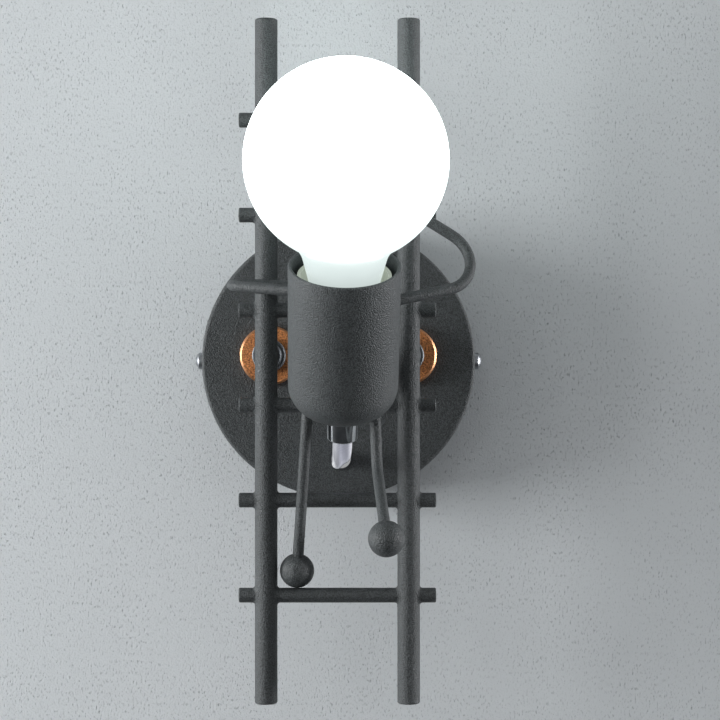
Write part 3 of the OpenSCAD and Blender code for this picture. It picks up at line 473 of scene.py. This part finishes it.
# %% [markdown]
# ## Turning a round part
# Many pieces here come off a lathe or are drawn round an axis. Spinning an outline would
# do, but a ring that is extruded and resized from point to point gives clean loops at
# exactly the outline's points. The outline is a list of radius and height, in millimetres.

# %% Turned bodies
def arc(centre, radius, start, end, steps):
    turn = [math.radians(start + (end - start) * k / steps) for k in range(steps + 1)]
    return [(centre[0] + radius * math.cos(a), centre[1] + radius * math.sin(a)) for a in turn]


def turned(outline, sides, closed_by, smooth_degrees):
    """A body of revolution, closed by a pole at its end or as a ring that joins both ends."""
    clear_selection()
    radius, height = outline[0]
    bpy.ops.mesh.primitive_circle_add(vertices=sides, radius=radius * MM, location=(0, 0, height * MM))
    piece = bpy.context.object
    bpy.ops.object.mode_set(mode="EDIT")
    bpy.ops.mesh.select_mode(type="EDGE")
    bpy.ops.mesh.select_all(action="SELECT")
    for (r_from, z_from), (r_to, z_to) in zip(outline, outline[1:]):
        bpy.ops.mesh.extrude_region_move(TRANSFORM_OT_translate={"value": (0, 0, (z_to - z_from) * MM)})
        bpy.ops.transform.resize(value=(r_to / r_from, r_to / r_from, 1))
    if closed_by == "pole":
        bpy.ops.mesh.merge(type="CENTER")
    else:
        bpy.ops.mesh.select_all(action="DESELECT")
        bpy.ops.mesh.select_non_manifold()
        bpy.ops.mesh.bridge_edge_loops()
    bpy.ops.mesh.select_all(action="SELECT")
    bpy.ops.mesh.normals_make_consistent(inside=False)
    bpy.ops.object.mode_set(mode="OBJECT")
    bpy.ops.object.transform_apply(location=True, rotation=True, scale=True)
    smooth_below(smooth_degrees)
    return piece


def reach_up(node_name):
    """Lowest and highest place of a node along the lamp's axis, in mm."""
    heights = [(into_lamp @ v.co).z / MM for v in frame["nodes"][node_name].data.vertices]
    return min(heights), max(heights)


print("turning helpers ready")

# %% [markdown]
# ## The globe
# The real globe is blown in a mould, a sphere that runs into its neck in one hollow curve.
# It could be a sphere joined to a tube, but then the join shows. One outline that follows
# the sphere down and swings out of it into the neck gives the same smooth shoulder. The
# glass gets its wall from a Solidify modifier that grows inwards.

# %% Bulb globe
GLOBE_R, GLASS_T = 39.75, 1
NECK_R, NECK_BLEND = 13.3, 14
NECK_LEAN, NECK_EASE, NECK_STRAIGHT = 14, 20, 2
# The ball's outline stops this many degrees up, just short of the pole that closes it
BALL_END = 88
GLOBE_FOOT, GLOBE_TOP = reach_up("bulb_globe")
GLOBE_UP = GLOBE_TOP - GLOBE_R
print("the globe's middle is", round(GLOBE_UP, 2), "mm up the lamp")


def globe_outline():
    """From the foot up: a straight bit, the leaning neck, a hollow blend and the ball."""
    ease_at = GLOBE_FOOT + NECK_STRAIGHT
    ease = arc((NECK_R + NECK_EASE, ease_at), NECK_EASE, 180, 180 - NECK_LEAN, 6)
    lean = math.radians(NECK_LEAN)
    along, out = Vector((math.sin(lean), math.cos(lean))), Vector((math.cos(lean), -math.sin(lean)))
    start = Vector(ease[-1]) + out * NECK_BLEND - Vector((0, GLOBE_UP))
    half = -start.dot(along)
    run = half - math.sqrt(half ** 2 - start.length_squared + (GLOBE_R + NECK_BLEND) ** 2)
    middle = start + along * run
    low = math.degrees(math.atan2(middle.y, middle.x))
    ball = arc((0, GLOBE_UP), GLOBE_R, BALL_END, low, 52)
    blend = arc((middle.x, middle.y + GLOBE_UP), NECK_BLEND, low + 180, 180 - NECK_LEAN, 12)
    return [(NECK_R, GLOBE_FOOT)] + ease + blend[::-1] + ball[::-1][1:]


globe = turned(globe_outline(), sides=128, closed_by="pole", smooth_degrees=60)
apply_modifier(globe, "SOLIDIFY", thickness=GLASS_T * MM, offset=-1)
smooth_below(60)
finish_piece(globe, "opal_globe", opal, "bulb", lamp_frame)
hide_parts("bulb_globe")

# %% [markdown]
# ## The bulb's rolled cap
# The screw thread of a lamp cap is rolled into thin sheet, so it is a soft wave and not a
# cut. It rises one pitch of about 3.6 mm in each turn. A plain turned cap gets rings close
# enough together, and then each point moves inwards by a wave that follows its height and
# its angle round the axis. The wave fades out at both ends of the thread.

# %% Bulb cap
CAP_R, CAP_L, CAP_T = 13.1, 20, 0.35
CAP_HOLE_R, CAP_FLOOR_R, CAP_CORNER, CAP_SKIRT = 8, 7.4, 2.6, 3
CAP_FLOOR_RISE, CAP_LIP = 0.4, 0.1
CAP_FOOT = reach_up("bulb_cap")[0]
CAP_RINGS = 64
THREAD_PITCH, THREAD_DEPTH = 3.63, 0.9
THREAD_FROM, THREAD_TO, THREAD_FADE = 3.6, 15.5, 1.2


def cap_outline():
    top = CAP_FOOT + CAP_L
    inside_r = CAP_R - THREAD_DEPTH - CAP_T
    outer = [(CAP_HOLE_R, CAP_FOOT)]
    outer += arc((CAP_R - CAP_CORNER, CAP_FOOT + CAP_SKIRT), CAP_CORNER, -60, 0, 6)
    rise = (CAP_L - CAP_SKIRT) / CAP_RINGS
    outer += [(CAP_R, CAP_FOOT + CAP_SKIRT + rise * k) for k in range(1, CAP_RINGS + 1)]
    inner = [(inside_r, top - CAP_LIP), (inside_r, CAP_FOOT + CAP_SKIRT + CAP_FLOOR_RISE),
             (CAP_FLOOR_R, CAP_FOOT + CAP_T)]
    return outer + inner


cap = turned(cap_outline(), sides=96, closed_by="ring", smooth_degrees=50)
for point in cap.data.vertices:
    x, y, z = point.co
    up = z / MM - CAP_FOOT
    on_the_wall = math.hypot(x, y) > (CAP_R - PLAY) * MM
    if on_the_wall and up > CAP_SKIRT:
        fade = min(1, max(0, (up - THREAD_FROM) / THREAD_FADE), max(0, (THREAD_TO - up) / THREAD_FADE))
        wave = 0.5 - 0.5 * math.cos(2 * math.pi * (z / (THREAD_PITCH * MM)) - math.atan2(y, x))
        shrink = 1 - fade * wave * THREAD_DEPTH / CAP_R
        point.co = (x * shrink, y * shrink, z)
pick(cap)
smooth_below(50)
finish_piece(cap, "rolled_bulb_cap", cap_metal, "bulb", lamp_frame)
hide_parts("bulb_cap")

# %% [markdown]
# ## The lamp cup
# The cup is a deep drawn tube with a rounded bottom. Under its powder coat the rim is not
# sharp: the coat draws back from the edge and leaves a rounded lip that catches the light.
# A bevel could round it, but the outline can carry the lip itself: it runs from the hole in
# the bottom, round the corner, up the wall, over the lip and back down inside.

# %% Lamp cup
SPIGOT_R, CUP_FLAT_R = 5.5, 9
# The corner starts just short of straight down, in degrees
CORNER_FROM = -88
# Heights of the rings that divide the straight wall
CUP_RINGS = (40, 54)


def cup_outline():
    r, wall, corner = CUP_D / 2, CUP_WALL, CUP_ROUND
    lip = wall / 2
    hole_r = SPIGOT_R + PLAY
    outside = [(hole_r, 0), (CUP_FLAT_R, 0)] + arc((r - corner, corner), corner, CORNER_FROM, 0, 20)
    outside += [(r, height) for height in CUP_RINGS]
    rim = arc((r - lip, CUP_L - lip), lip, 0, 180, 10)
    inside = [(r - wall, CUP_RINGS[0])] + arc((r - corner, corner), corner - wall, 0, CORNER_FROM, 20)
    return outside + rim + inside + [(CUP_FLAT_R, wall), (hole_r, wall)]


cup = turned(cup_outline(), sides=128, closed_by="ring", smooth_degrees=40)
finish_piece(cup, "drawn_lamp_cup", coat, "sconce", lamp_frame)
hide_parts("lamp_cup")

# %% [markdown]
# ## Arms and legs
# Arms and legs are bent from one thickness of rod. The engineering model holds them with
# few sides, and their bends are right, so there is no need to draw them again: copies are
# joined into one skin, their cut ends get a small round as the coat gives them, and smooth
# shading hides the sides.

# %% Arms and legs
END_ROUND, MERGE_WITHIN = 0.35, 0.002


def merged_copy(node_name):
    """A copy of a node whose loose triangles are joined, ready for modifiers and smooth shading."""
    piece = bpy.data.objects.new(node_name, frame["nodes"][node_name].data.copy())
    bpy.context.scene.collection.objects.link(piece)
    pick(piece)
    bpy.ops.mesh.customdata_custom_splitnormals_clear()
    bpy.ops.object.mode_set(mode="EDIT")
    bpy.ops.mesh.select_all(action="SELECT")
    bpy.ops.mesh.remove_doubles(threshold=MERGE_WITHIN * MM)
    bpy.ops.mesh.tris_convert_to_quads(face_threshold=math.radians(5), shape_threshold=math.radians(30))
    bpy.ops.object.mode_set(mode="OBJECT")
    return piece


for limb in ("arm_left", "arm_right", "leg_left", "leg_right"):
    rod = merged_copy(limb)
    apply_modifier(rod, "BEVEL", width=END_ROUND * MM, segments=3, limit_method="ANGLE",
                   angle_limit=math.radians(50), use_clamp_overlap=True)
    smooth_below(40)
    finish_piece(rod, limb.replace("_", "_rod_"), coat, "sconce")
    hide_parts(limb)

# %% [markdown]
# ## A weld fillet
# Every rung passes through both rails and is welded there, and the coat flows over the
# weld as a small hollow fillet. A fillet starts as a torus round the rod. Its points first
# move onto a small hollow section, and then each slides along the rod until it meets the
# surface of the other piece, which gives the saddle shape. A surface is a function that
# says how far a point lies outside it, so the same helper serves a rail and the cup.

# %% Weld fillet helpers
FILLET_SIDES = 6
# How far the fillet's two edges dip into the metal, and how deep its hidden back lies
FILLET_DIP, FILLET_BACK = 0.04, 0.3
# Each halving doubles the accuracy with which a surface is found
HALVINGS = 24


def rail_surface(x_mm):
    def outside(p):
        return math.hypot(p.x - x_mm * MM, p.y + LADDER_OUT * MM) - RAIL_D / 2 * MM
    return outside


def cup_surface(p):
    q = into_lamp @ p
    r, corner = CUP_D / 2 * MM, CUP_ROUND * MM
    across = math.hypot(q.x, q.y)
    if q.z < corner and across > r - corner:
        return math.hypot(across - (r - corner), q.z - corner) - corner
    return max(across - r, -q.z)


def meet(start, way, outside, far):
    """How far from start, which is inside, the surface lies along way."""
    near = 0.0
    for _ in range(HALVINGS):
        middle = (near + far) / 2
        if outside(start + way * middle) < 0:
            near = middle
        else:
            far = middle
    return near


def weld_fillet(start, way, pipe_r, leg, outside, far):
    """A fillet where a round rod from start, along way, comes out of a surface; sizes in mm."""
    # Points of the section: aside from the rod, and along it from the surface; two are hidden
    shape = [(leg, -FILLET_DIP), (0.45 * leg, 0.17 * leg), (0.17 * leg, 0.45 * leg), (-FILLET_DIP, leg),
             (-FILLET_BACK, 0.2), (0.2, -FILLET_BACK)]
    clear_selection()
    bpy.ops.mesh.primitive_torus_add(
        major_radius=pipe_r * MM, minor_radius=leg * MM, major_segments=48, minor_segments=FILLET_SIDES)
    piece = bpy.context.object
    way = way.normalized()
    turn = Vector((0, 0, 1)).rotation_difference(way).to_matrix()
    for point in piece.data.vertices:
        around = math.atan2(point.co.y, point.co.x)
        section = math.atan2(point.co.z, math.hypot(point.co.x, point.co.y) - pipe_r * MM)
        aside, along = shape[round(section / (2 * math.pi) * FILLET_SIDES) % FILLET_SIDES]
        radius = (pipe_r + aside) * MM
        offset = turn @ Vector((math.cos(around) * radius, math.sin(around) * radius, 0))
        reach = meet(start + offset, way, outside, far * MM)
        point.co = start + offset + way * (reach + along * MM)
    smooth_below(60)
    return piece


def join_pieces(pieces, name):
    clear_selection()
    for piece in pieces:
        piece.select_set(True)
    bpy.context.view_layer.objects.active = pieces[0]
    bpy.ops.object.join()
    return finish_piece(bpy.context.object, name, coat, "sconce")


print("weld helpers ready")

# %% [markdown]
# ## Welds of the ladder
# Twelve crossings of rung and rail have a fillet on each side of the rail, and each post
# has one where it meets its rail from behind. All fillets of one kind are joined into one
# piece, because they never move apart.

# %% Ladder welds
RUNG_FILLET, POST_FILLET, RAIL_REACH = 1.1, 1.0, 8

rung_fillets = []
for side in (-1, 1):
    rail_x = side * RAIL_SPACING / 2
    rail = rail_surface(rail_x)
    for n in range(RUNG_COUNT):
        rung_z = RUNGS_RISE + ((RUNG_COUNT - 1) / 2 - n) * RUNG_PITCH
        middle = Vector((rail_x, -LADDER_OUT, rung_z)) * MM
        for way in (Vector((1, 0, 0)), Vector((-1, 0, 0))):
            rung_fillets.append(weld_fillet(middle, way, RUNG_D / 2, RUNG_FILLET, rail, RAIL_REACH))
join_pieces(rung_fillets, "rung_weld_fillets")

backwards = Vector((0, 1, 0))
post_fillets = []
for side in (-1, 1):
    rail_x = side * RAIL_SPACING / 2
    rail = rail_surface(rail_x)
    middle = Vector((rail_x, -LADDER_OUT, STANDOFF_Z)) * MM
    post_fillets.append(weld_fillet(middle, backwards, POST_R, POST_FILLET, rail, RAIL_REACH))
join_pieces(post_fillets, "post_weld_fillets")

# %% [markdown]
# ## Welds of the limbs
# An arm leaves the cup sideways and a leg leaves its rounded bottom, so the same fillet is
# used with the cup as the surface. The start of each rod lies inside the cup, on the line
# that its straight end follows to the first bend.

# %% Limb welds
LIMB_FILLET, CUP_REACH = 0.9, 40


def on_lamp(x, y, up):
    return lamp_frame @ (Vector((x, y, up)) * MM)


ROD_OUT = LADDER_OUT + RAIL_D / 2 + ROD_D / 2 + PLAY
# Each limb's root inside the cup, and its first bend
limb_lines = {
    "arm_left": (on_lamp(0, 0, 53), Vector((-65, -ROD_OUT, 33)) * MM),
    "arm_right": (on_lamp(0, 0, 45.6), Vector((74.7, -ROD_OUT, 35.9)) * MM),
    "leg_left": (on_lamp(-14.2, 0, 6), Vector((-15, -64.8, -61)) * MM),
    "leg_right": (on_lamp(13, 0, 6), Vector((16.4, -81.5, -43.2)) * MM),
}
limb_fillets = []
for root, bend in limb_lines.values():
    limb_fillets.append(weld_fillet(root, bend - root, ROD_D / 2, LIMB_FILLET, cup_surface, CUP_REACH))
join_pieces(limb_fillets, "limb_weld_fillets")

# %% [markdown]
# ## Copper rings and hubs
# Ring and hub are turned parts that sit on one stud. The ring's flat face and its bevel
# carry different finishes, so after turning it the sloping faces of its front half get the
# bright cut, and all others keep the lacquer.

# %% Rings and hubs
STUD_R = 2.55
RING_R, RING_T, RING_BEVEL, RING_EDGE = 13, 4, 0.8, 0.2
HUB_R, HUB_L, HUB_BEVEL, HUB_EDGE = 7.25, 10, 0.5, 0.3
NOSE_R, NOSE_L, NOSE_TAPER, NOSE_EDGE = 6, 2.5, 0.6, 0.4
# How far in front of the nose's foot the post ends
POST_END = 0.5
ring_out = CANOPY_DEPTH + RING_T
nose_at = ring_out + HUB_L - NOSE_L
hub_out = nose_at + NOSE_L
ring_line = [
    (STUD_R, CANOPY_DEPTH), (RING_R - RING_EDGE, CANOPY_DEPTH), (RING_R, CANOPY_DEPTH + RING_EDGE),
    (RING_R, ring_out - RING_BEVEL), (RING_R - RING_BEVEL, ring_out), (STUD_R, ring_out),
]
hub_line = [
    (STUD_R, ring_out), (HUB_R - HUB_EDGE, ring_out), (HUB_R, ring_out + HUB_EDGE),
    (HUB_R, nose_at - HUB_BEVEL), (HUB_R - HUB_BEVEL, nose_at), (NOSE_R, nose_at),
    (NOSE_R - NOSE_TAPER, hub_out - NOSE_EDGE), (NOSE_R - NOSE_TAPER - NOSE_EDGE, hub_out),
    (POST_R + PLAY, hub_out), (POST_R + PLAY, nose_at + POST_END), (STUD_R, nose_at + POST_END),
]


def on_standoff(side):
    foot = Vector((side * RAIL_SPACING / 2, 0, STANDOFF_Z)) * MM
    return Matrix.Translation(foot) @ Matrix.Rotation(math.radians(90), 4, "X")


for side, word in ((-1, "left"), (1, "right")):
    ring = turned(ring_line, sides=96, closed_by="ring", smooth_degrees=20)
    ring.data.materials.append(ring_lacquer)
    ring.data.materials.append(ring_bright)
    for face in ring.data.polygons:
        sloping = 0.3 < abs(face.normal.z) < 0.95
        in_front = face.center.z / MM > CANOPY_DEPTH + RING_T / 2
        face.material_index = int(sloping and in_front)
    finish_piece(ring, "lacquered_ring_" + word, None, "sconce", on_standoff(side))
    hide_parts("copper_ring_" + word)
    hub = turned(hub_line, sides=72, closed_by="ring", smooth_degrees=25)
    finish_piece(hub, "turned_hub_" + word, hub_metal, "sconce", on_standoff(side))
    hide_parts("standoff_hub_" + word)

# %% [markdown]
# ## The route of the twin flex
# The flex leaves the cord grip, swings back and enters the canopy. Its route repeats the
# engineering model's points, apart from five at the bend that lie up to 1 mm higher here,
# and a smooth line runs through them all. On the way the flex turns a little about itself,
# so its flat side and its groove wander as they do in the photograph.

# %% Flex route
flex_route = [
    (2.6, -83.9, -8.2), (2.5, -81.1, -13.6), (2.4, -77.5, -20.7), (2.3, -73.9, -27.8), (2.2, -70.7, -34.1),
    (2.0, -67.7, -38.3), (1.8, -65.0, -40.3), (1.5, -61.8, -41.5), (1.3, -58.4, -41.9),
    (1.2, -46, -42.4), (1.2, -34, -42.9), (1.2, -25, -42.9), (1.2, -16.5, -42.9),
    (1.2, -12.6, -41.9), (1.2, -9.6, -39.1), (1.2, -8.4, -35), (1.2, -8.2, -27), (1.2, -8.2, -18.4),
]
FLEX_STEPS = 6
# How far the flex is turned about its own line where it starts
FLEX_TURN = math.radians(25)
# Share of the way, and how far the flex is turned there, in degrees
FLEX_TWISTS = [(0, 0), (0.2, -15), (0.45, 17), (0.8, 17), (1, 0)]


def smooth_line(points, steps):
    line = []
    last = len(points) - 1
    for i in range(last):
        a, b, c, d = (Vector(points[min(max(k, 0), last)]) for k in (i - 1, i, i + 1, i + 2))
        for k in range(steps):
            t = k / steps
            line.append(0.5 * (2 * b + (c - a) * t + (2 * a - 5 * b + 4 * c - d) * t ** 2
                               + (3 * b - a - 3 * c + d) * t ** 3))
    return line + [Vector(points[last])]


def twist_at(share):
    for (a, low), (b, high) in zip(FLEX_TWISTS, FLEX_TWISTS[1:]):
        if share <= b:
            part = (share - a) / (b - a)
            return math.radians(low + (high - low) * part * part * (3 - 2 * part))


def ways_along(line):
    """Way and sideways direction at each point: carried along the line, then turned by twist_at."""
    last = len(line) - 1
    right = Vector((1, 0, 0))
    ways = [(line[min(i + 1, last)] - line[max(i - 1, 0)]).normalized() for i in range(last + 1)]
    side = right * math.cos(FLEX_TURN) + right.cross(ways[0]) * math.sin(FLEX_TURN)
    sides = []
    for i, way in enumerate(ways):
        side = (side - way * side.dot(way)).normalized()
        turn = twist_at(i / last)
        sides.append(side * math.cos(turn) + side.cross(way) * math.sin(turn))
    return ways, sides


flex_line = [p * MM for p in smooth_line(flex_route, FLEX_STEPS)]
flex_ways, flex_across = ways_along(flex_line)
flex_length = sum((b - a).length for a, b in zip(flex_line, flex_line[1:]))
print("the flex is", round(flex_length / MM), "mm long")

# %% [markdown]
# ## The twin flex
# The flex is two cores side by side under clear vinyl, so its outline is two round lobes
# with a shallow groove. It could be a curve with a bevel, but then its surface map would
# be lost. A flat grid already has an even map: laid along the route, with one side going
# round the outline, it keeps that map for the painted shade in the groove, the painted
# highlight at the edges and the strands. The grid is 1 wide and 1 long at first, so a
# point's x and y tell its share of the way round and along.

# %% Flex
FLEX_W, FLEX_T, FLEX_WAIST = 8.2, 4.6, 2.1
FLEX_SIDES, SEAM_WITHIN = 48, 0.005


def lobe_point(turn):
    x = FLEX_W / 2 * math.cos(turn)
    lobe = FLEX_T / 2
    rise = math.sqrt(max(0, lobe ** 2 - (abs(x) - (FLEX_W / 2 - lobe)) ** 2))
    if abs(x) < FLEX_W / 2 - lobe:
        rise = max(rise, FLEX_WAIST)
    return x, math.copysign(rise, math.sin(turn))


clear_selection()
bpy.ops.mesh.primitive_grid_add(x_subdivisions=FLEX_SIDES, y_subdivisions=len(flex_line) - 1, size=1)
flex = bpy.context.object
for point in flex.data.vertices:
    turn = (point.co.x + 0.5) * 2 * math.pi
    i = round((point.co.y + 0.5) * (len(flex_line) - 1))
    x, y = lobe_point(turn)
    point.co = flex_line[i] + (flex_across[i] * x + flex_ways[i].cross(flex_across[i]) * y) * MM
bpy.ops.object.mode_set(mode="EDIT")
bpy.ops.mesh.select_all(action="SELECT")
bpy.ops.mesh.remove_doubles(threshold=SEAM_WITHIN * MM)
bpy.ops.mesh.select_all(action="DESELECT")
bpy.ops.mesh.select_non_manifold()
bpy.ops.mesh.edge_face_add()
bpy.ops.mesh.select_all(action="SELECT")
bpy.ops.mesh.normals_make_consistent(inside=False)
bpy.ops.object.mode_set(mode="OBJECT")
smooth_below(60)
finish_piece(flex, "clear_twin_flex", flex_vinyl, "sconce")
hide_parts("flex_cord")

# %% [markdown]
# ## The cores inside the canopy
# Inside the canopy the flex's two cores part and run to the terminal block. The engineering
# model has their paths right, so, as with the limbs, a copy only gets one smooth skin.

# %% Cores
cores = merged_copy("flex_cores_canopy")
smooth_below(50)
finish_piece(cores, "round_flex_cores", core_vinyl, "sconce")
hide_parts("flex_cores_canopy")

# %% [markdown]
# ## Plaster
# The lamp hangs on a pale plaster wall with small scraped pits. They could be modelled,
# but nobody looks at them closely. Fine noise, stretched upwards and cut off at a
# threshold, gives the pits, and a wide noise gathers them in patches. The back of the wall
# is see-through, so that a view from behind shows the lamp and not a blank wall.

# %% Plaster
def plaster():
    material, tree, shader = new_finish("pale_trowelled_plaster", Roughness=0.9, Specular_IOR_Level=0.1)
    place = place_of(tree)
    upright = add(tree, "Mapping", {"Scale": (1, 1, 0.4)}, {"Vector": place})
    scrape = add(tree, "TexNoise", {"Scale": marks_of(0.7), "Detail": 2.0, "Roughness": 0.6},
                 {"Vector": upright.outputs["Vector"]})
    patch = add(tree, "TexNoise", {"Scale": marks_of(28), "Detail": 2.0}, {"Vector": place})
    grain = add(tree, "TexNoise", {"Scale": marks_of(0.8), "Detail": 2.0}, {"Vector": place})
    cloud = add(tree, "TexNoise", {"Scale": marks_of(111), "Detail": 3.0}, {"Vector": place})
    marks = add(tree, "MapRange", {"From Min": 0.58, "From Max": 0.72}, {"Value": scrape.outputs["Fac"]})
    where = add(tree, "MapRange", {"From Min": 0.3, "From Max": 0.6, "To Min": 0.4},
                {"Value": patch.outputs["Fac"]})
    pits = add(tree, "Math", {"operation": "MULTIPLY"},
               {0: marks.outputs["Result"], 1: where.outputs["Result"]})
    tone = add(tree, "Mix", {"data_type": "RGBA", 6: linear("#D0D4D6"), 7: linear("#DADDDF")},
               {0: cloud.outputs["Fac"]})
    # The pits are drawn darker as well as sunk: painted shade in their hollows
    shade = add(tree, "Mix", {"data_type": "RGBA", 7: linear("#AAAEB1")},
                {0: pits.outputs["Value"], 6: tone.outputs[2]})
    sunk = add(tree, "Math", {"operation": "MULTIPLY_ADD", 1: -2.0},
               {0: pits.outputs["Value"], 2: grain.outputs["Fac"]})
    dents = add(tree, "Bump", {"Strength": 0.7, "Distance": 0.36 * MM},
                {"Height": sunk.outputs["Value"]})
    wire(tree, shader, {"Base Color": shade.outputs[2], "Normal": dents.outputs["Normal"]})
    faces = add(tree, "NewGeometry")
    see_through = add(tree, "BsdfTransparent")
    front_only = add(tree, "MixShader", {}, {0: faces.outputs["Backfacing"], 1: shader.outputs["BSDF"],
                                             2: see_through.outputs["BSDF"]})
    wire(tree, tree.nodes["Material Output"], {"Surface": front_only.outputs["Shader"]})
    return material


wall_plaster = plaster()
print("made", wall_plaster.name)

# %% [markdown]
# ## The wall behind
# The wall is only a backdrop, so it is a flat disc, far larger than the picture; it is
# rendered, but it isn't a piece of the lamp. The disc is drawn as a ring, because it needs
# an opening behind the canopy. Otherwise it would close the canopy's open back. The opening
# is a little smaller than the canopy, which hides it from the front.

# %% Wall
WALL_R, WALL_HOLE_R = 1600, 59

clear_selection()
bpy.ops.mesh.primitive_circle_add(vertices=96, radius=WALL_HOLE_R * MM)
backdrop = bpy.context.object
backdrop.name = "plaster_wall"
bpy.ops.object.mode_set(mode="EDIT")
bpy.ops.mesh.select_mode(type="EDGE")
bpy.ops.mesh.select_all(action="SELECT")
bpy.ops.mesh.extrude_edges_move()
bpy.ops.transform.resize(value=(WALL_R / WALL_HOLE_R, WALL_R / WALL_HOLE_R, 1))
bpy.ops.object.mode_set(mode="OBJECT")
bpy.ops.transform.rotate(value=math.radians(90), orient_axis="X", center_override=(0, 0, 0))
bpy.ops.object.transform_apply(location=True, rotation=True, scale=True)
if backdrop.data.polygons[0].normal.y > 0:
    backdrop.data.flip_normals()
print("the wall faces", tuple(round(c, 2) for c in backdrop.data.polygons[0].normal))
backdrop.data.materials.append(wall_plaster)

# %% [markdown]
# ## The room
# The room gives a weak light from all sides. It is darker below, and the chrome grip shows
# that as a dark underside. An even colour would be simpler, but then polished metal looks
# flat, so the colour changes softly with the direction's height.

# %% World
ROOM_STRENGTH = 0.54

world = bpy.data.worlds.new("studio")
bpy.context.scene.world = world
world.use_nodes = True
room = world.node_tree
sky = room.nodes["Background"]
toward = add(room, "SeparateXYZ", {}, {"Vector": add(room, "TexCoord").outputs["Generated"]})
rise = add(room, "MapRange", {"interpolation_type": "SMOOTHSTEP", "From Min": -0.8, "From Max": -0.1},
           {"Value": toward.outputs["Z"]})
tone = add(room, "Mix", {"data_type": "RGBA", 6: linear("#4A4C4E"), 7: linear("#D2D4D6")},
           {0: rise.outputs["Result"]})
wire(room, sky, {"Color": tone.outputs[2]})
sky.inputs["Strength"].default_value = ROOM_STRENGTH
print("room light", ROOM_STRENGTH)

# %% [markdown]
# ## The lights
# A large soft light stands far to the left and grazes the wall, a narrow one stands far to
# the right, and a weak one fills from the front. The first two draw the long highlights on
# the rails. Round bars mirror the shape of a light, so area lights of the right width give
# those highlights their width, which spot lights could not.

# %% Lights
def soft_light(name, place, target, width, height, power, colour):
    clear_selection()
    bpy.ops.object.light_add(type="AREA", location=Vector(place) * MM)
    light = bpy.context.object
    light.name = name
    light.data.shape = "RECTANGLE"
    light.data.size = width * MM
    light.data.size_y = height * MM
    light.data.energy = power
    light.data.color = linear(colour)[:3]
    light.rotation_mode = "QUATERNION"
    light.rotation_quaternion = (Vector(target) - Vector(place)).to_track_quat("-Z", "Y")
    print(name, "at", place, "mm,", power, "W")


# Place and target, width and height in mm, then watts and colour
soft_light("left_softbox", (-1250, -330, 60), (0, -30, 0), 420, 600, 20, "#FCFEFF")
soft_light("right_softbox", (1500, -37, 60), (0, -30, 60), 66, 1000, 20, "#FDFDFF")
soft_light("front_fill", (-950, -1000, 100), (0, 0, 0), 800, 800, 3, "#FFFFFF")
bpy.context.scene.view_settings.view_transform = "Standard"

# %% [markdown]
# ## The end of the scene
# Finishes and fillets must not make the lamp larger than the engineering model.


print("scene built")
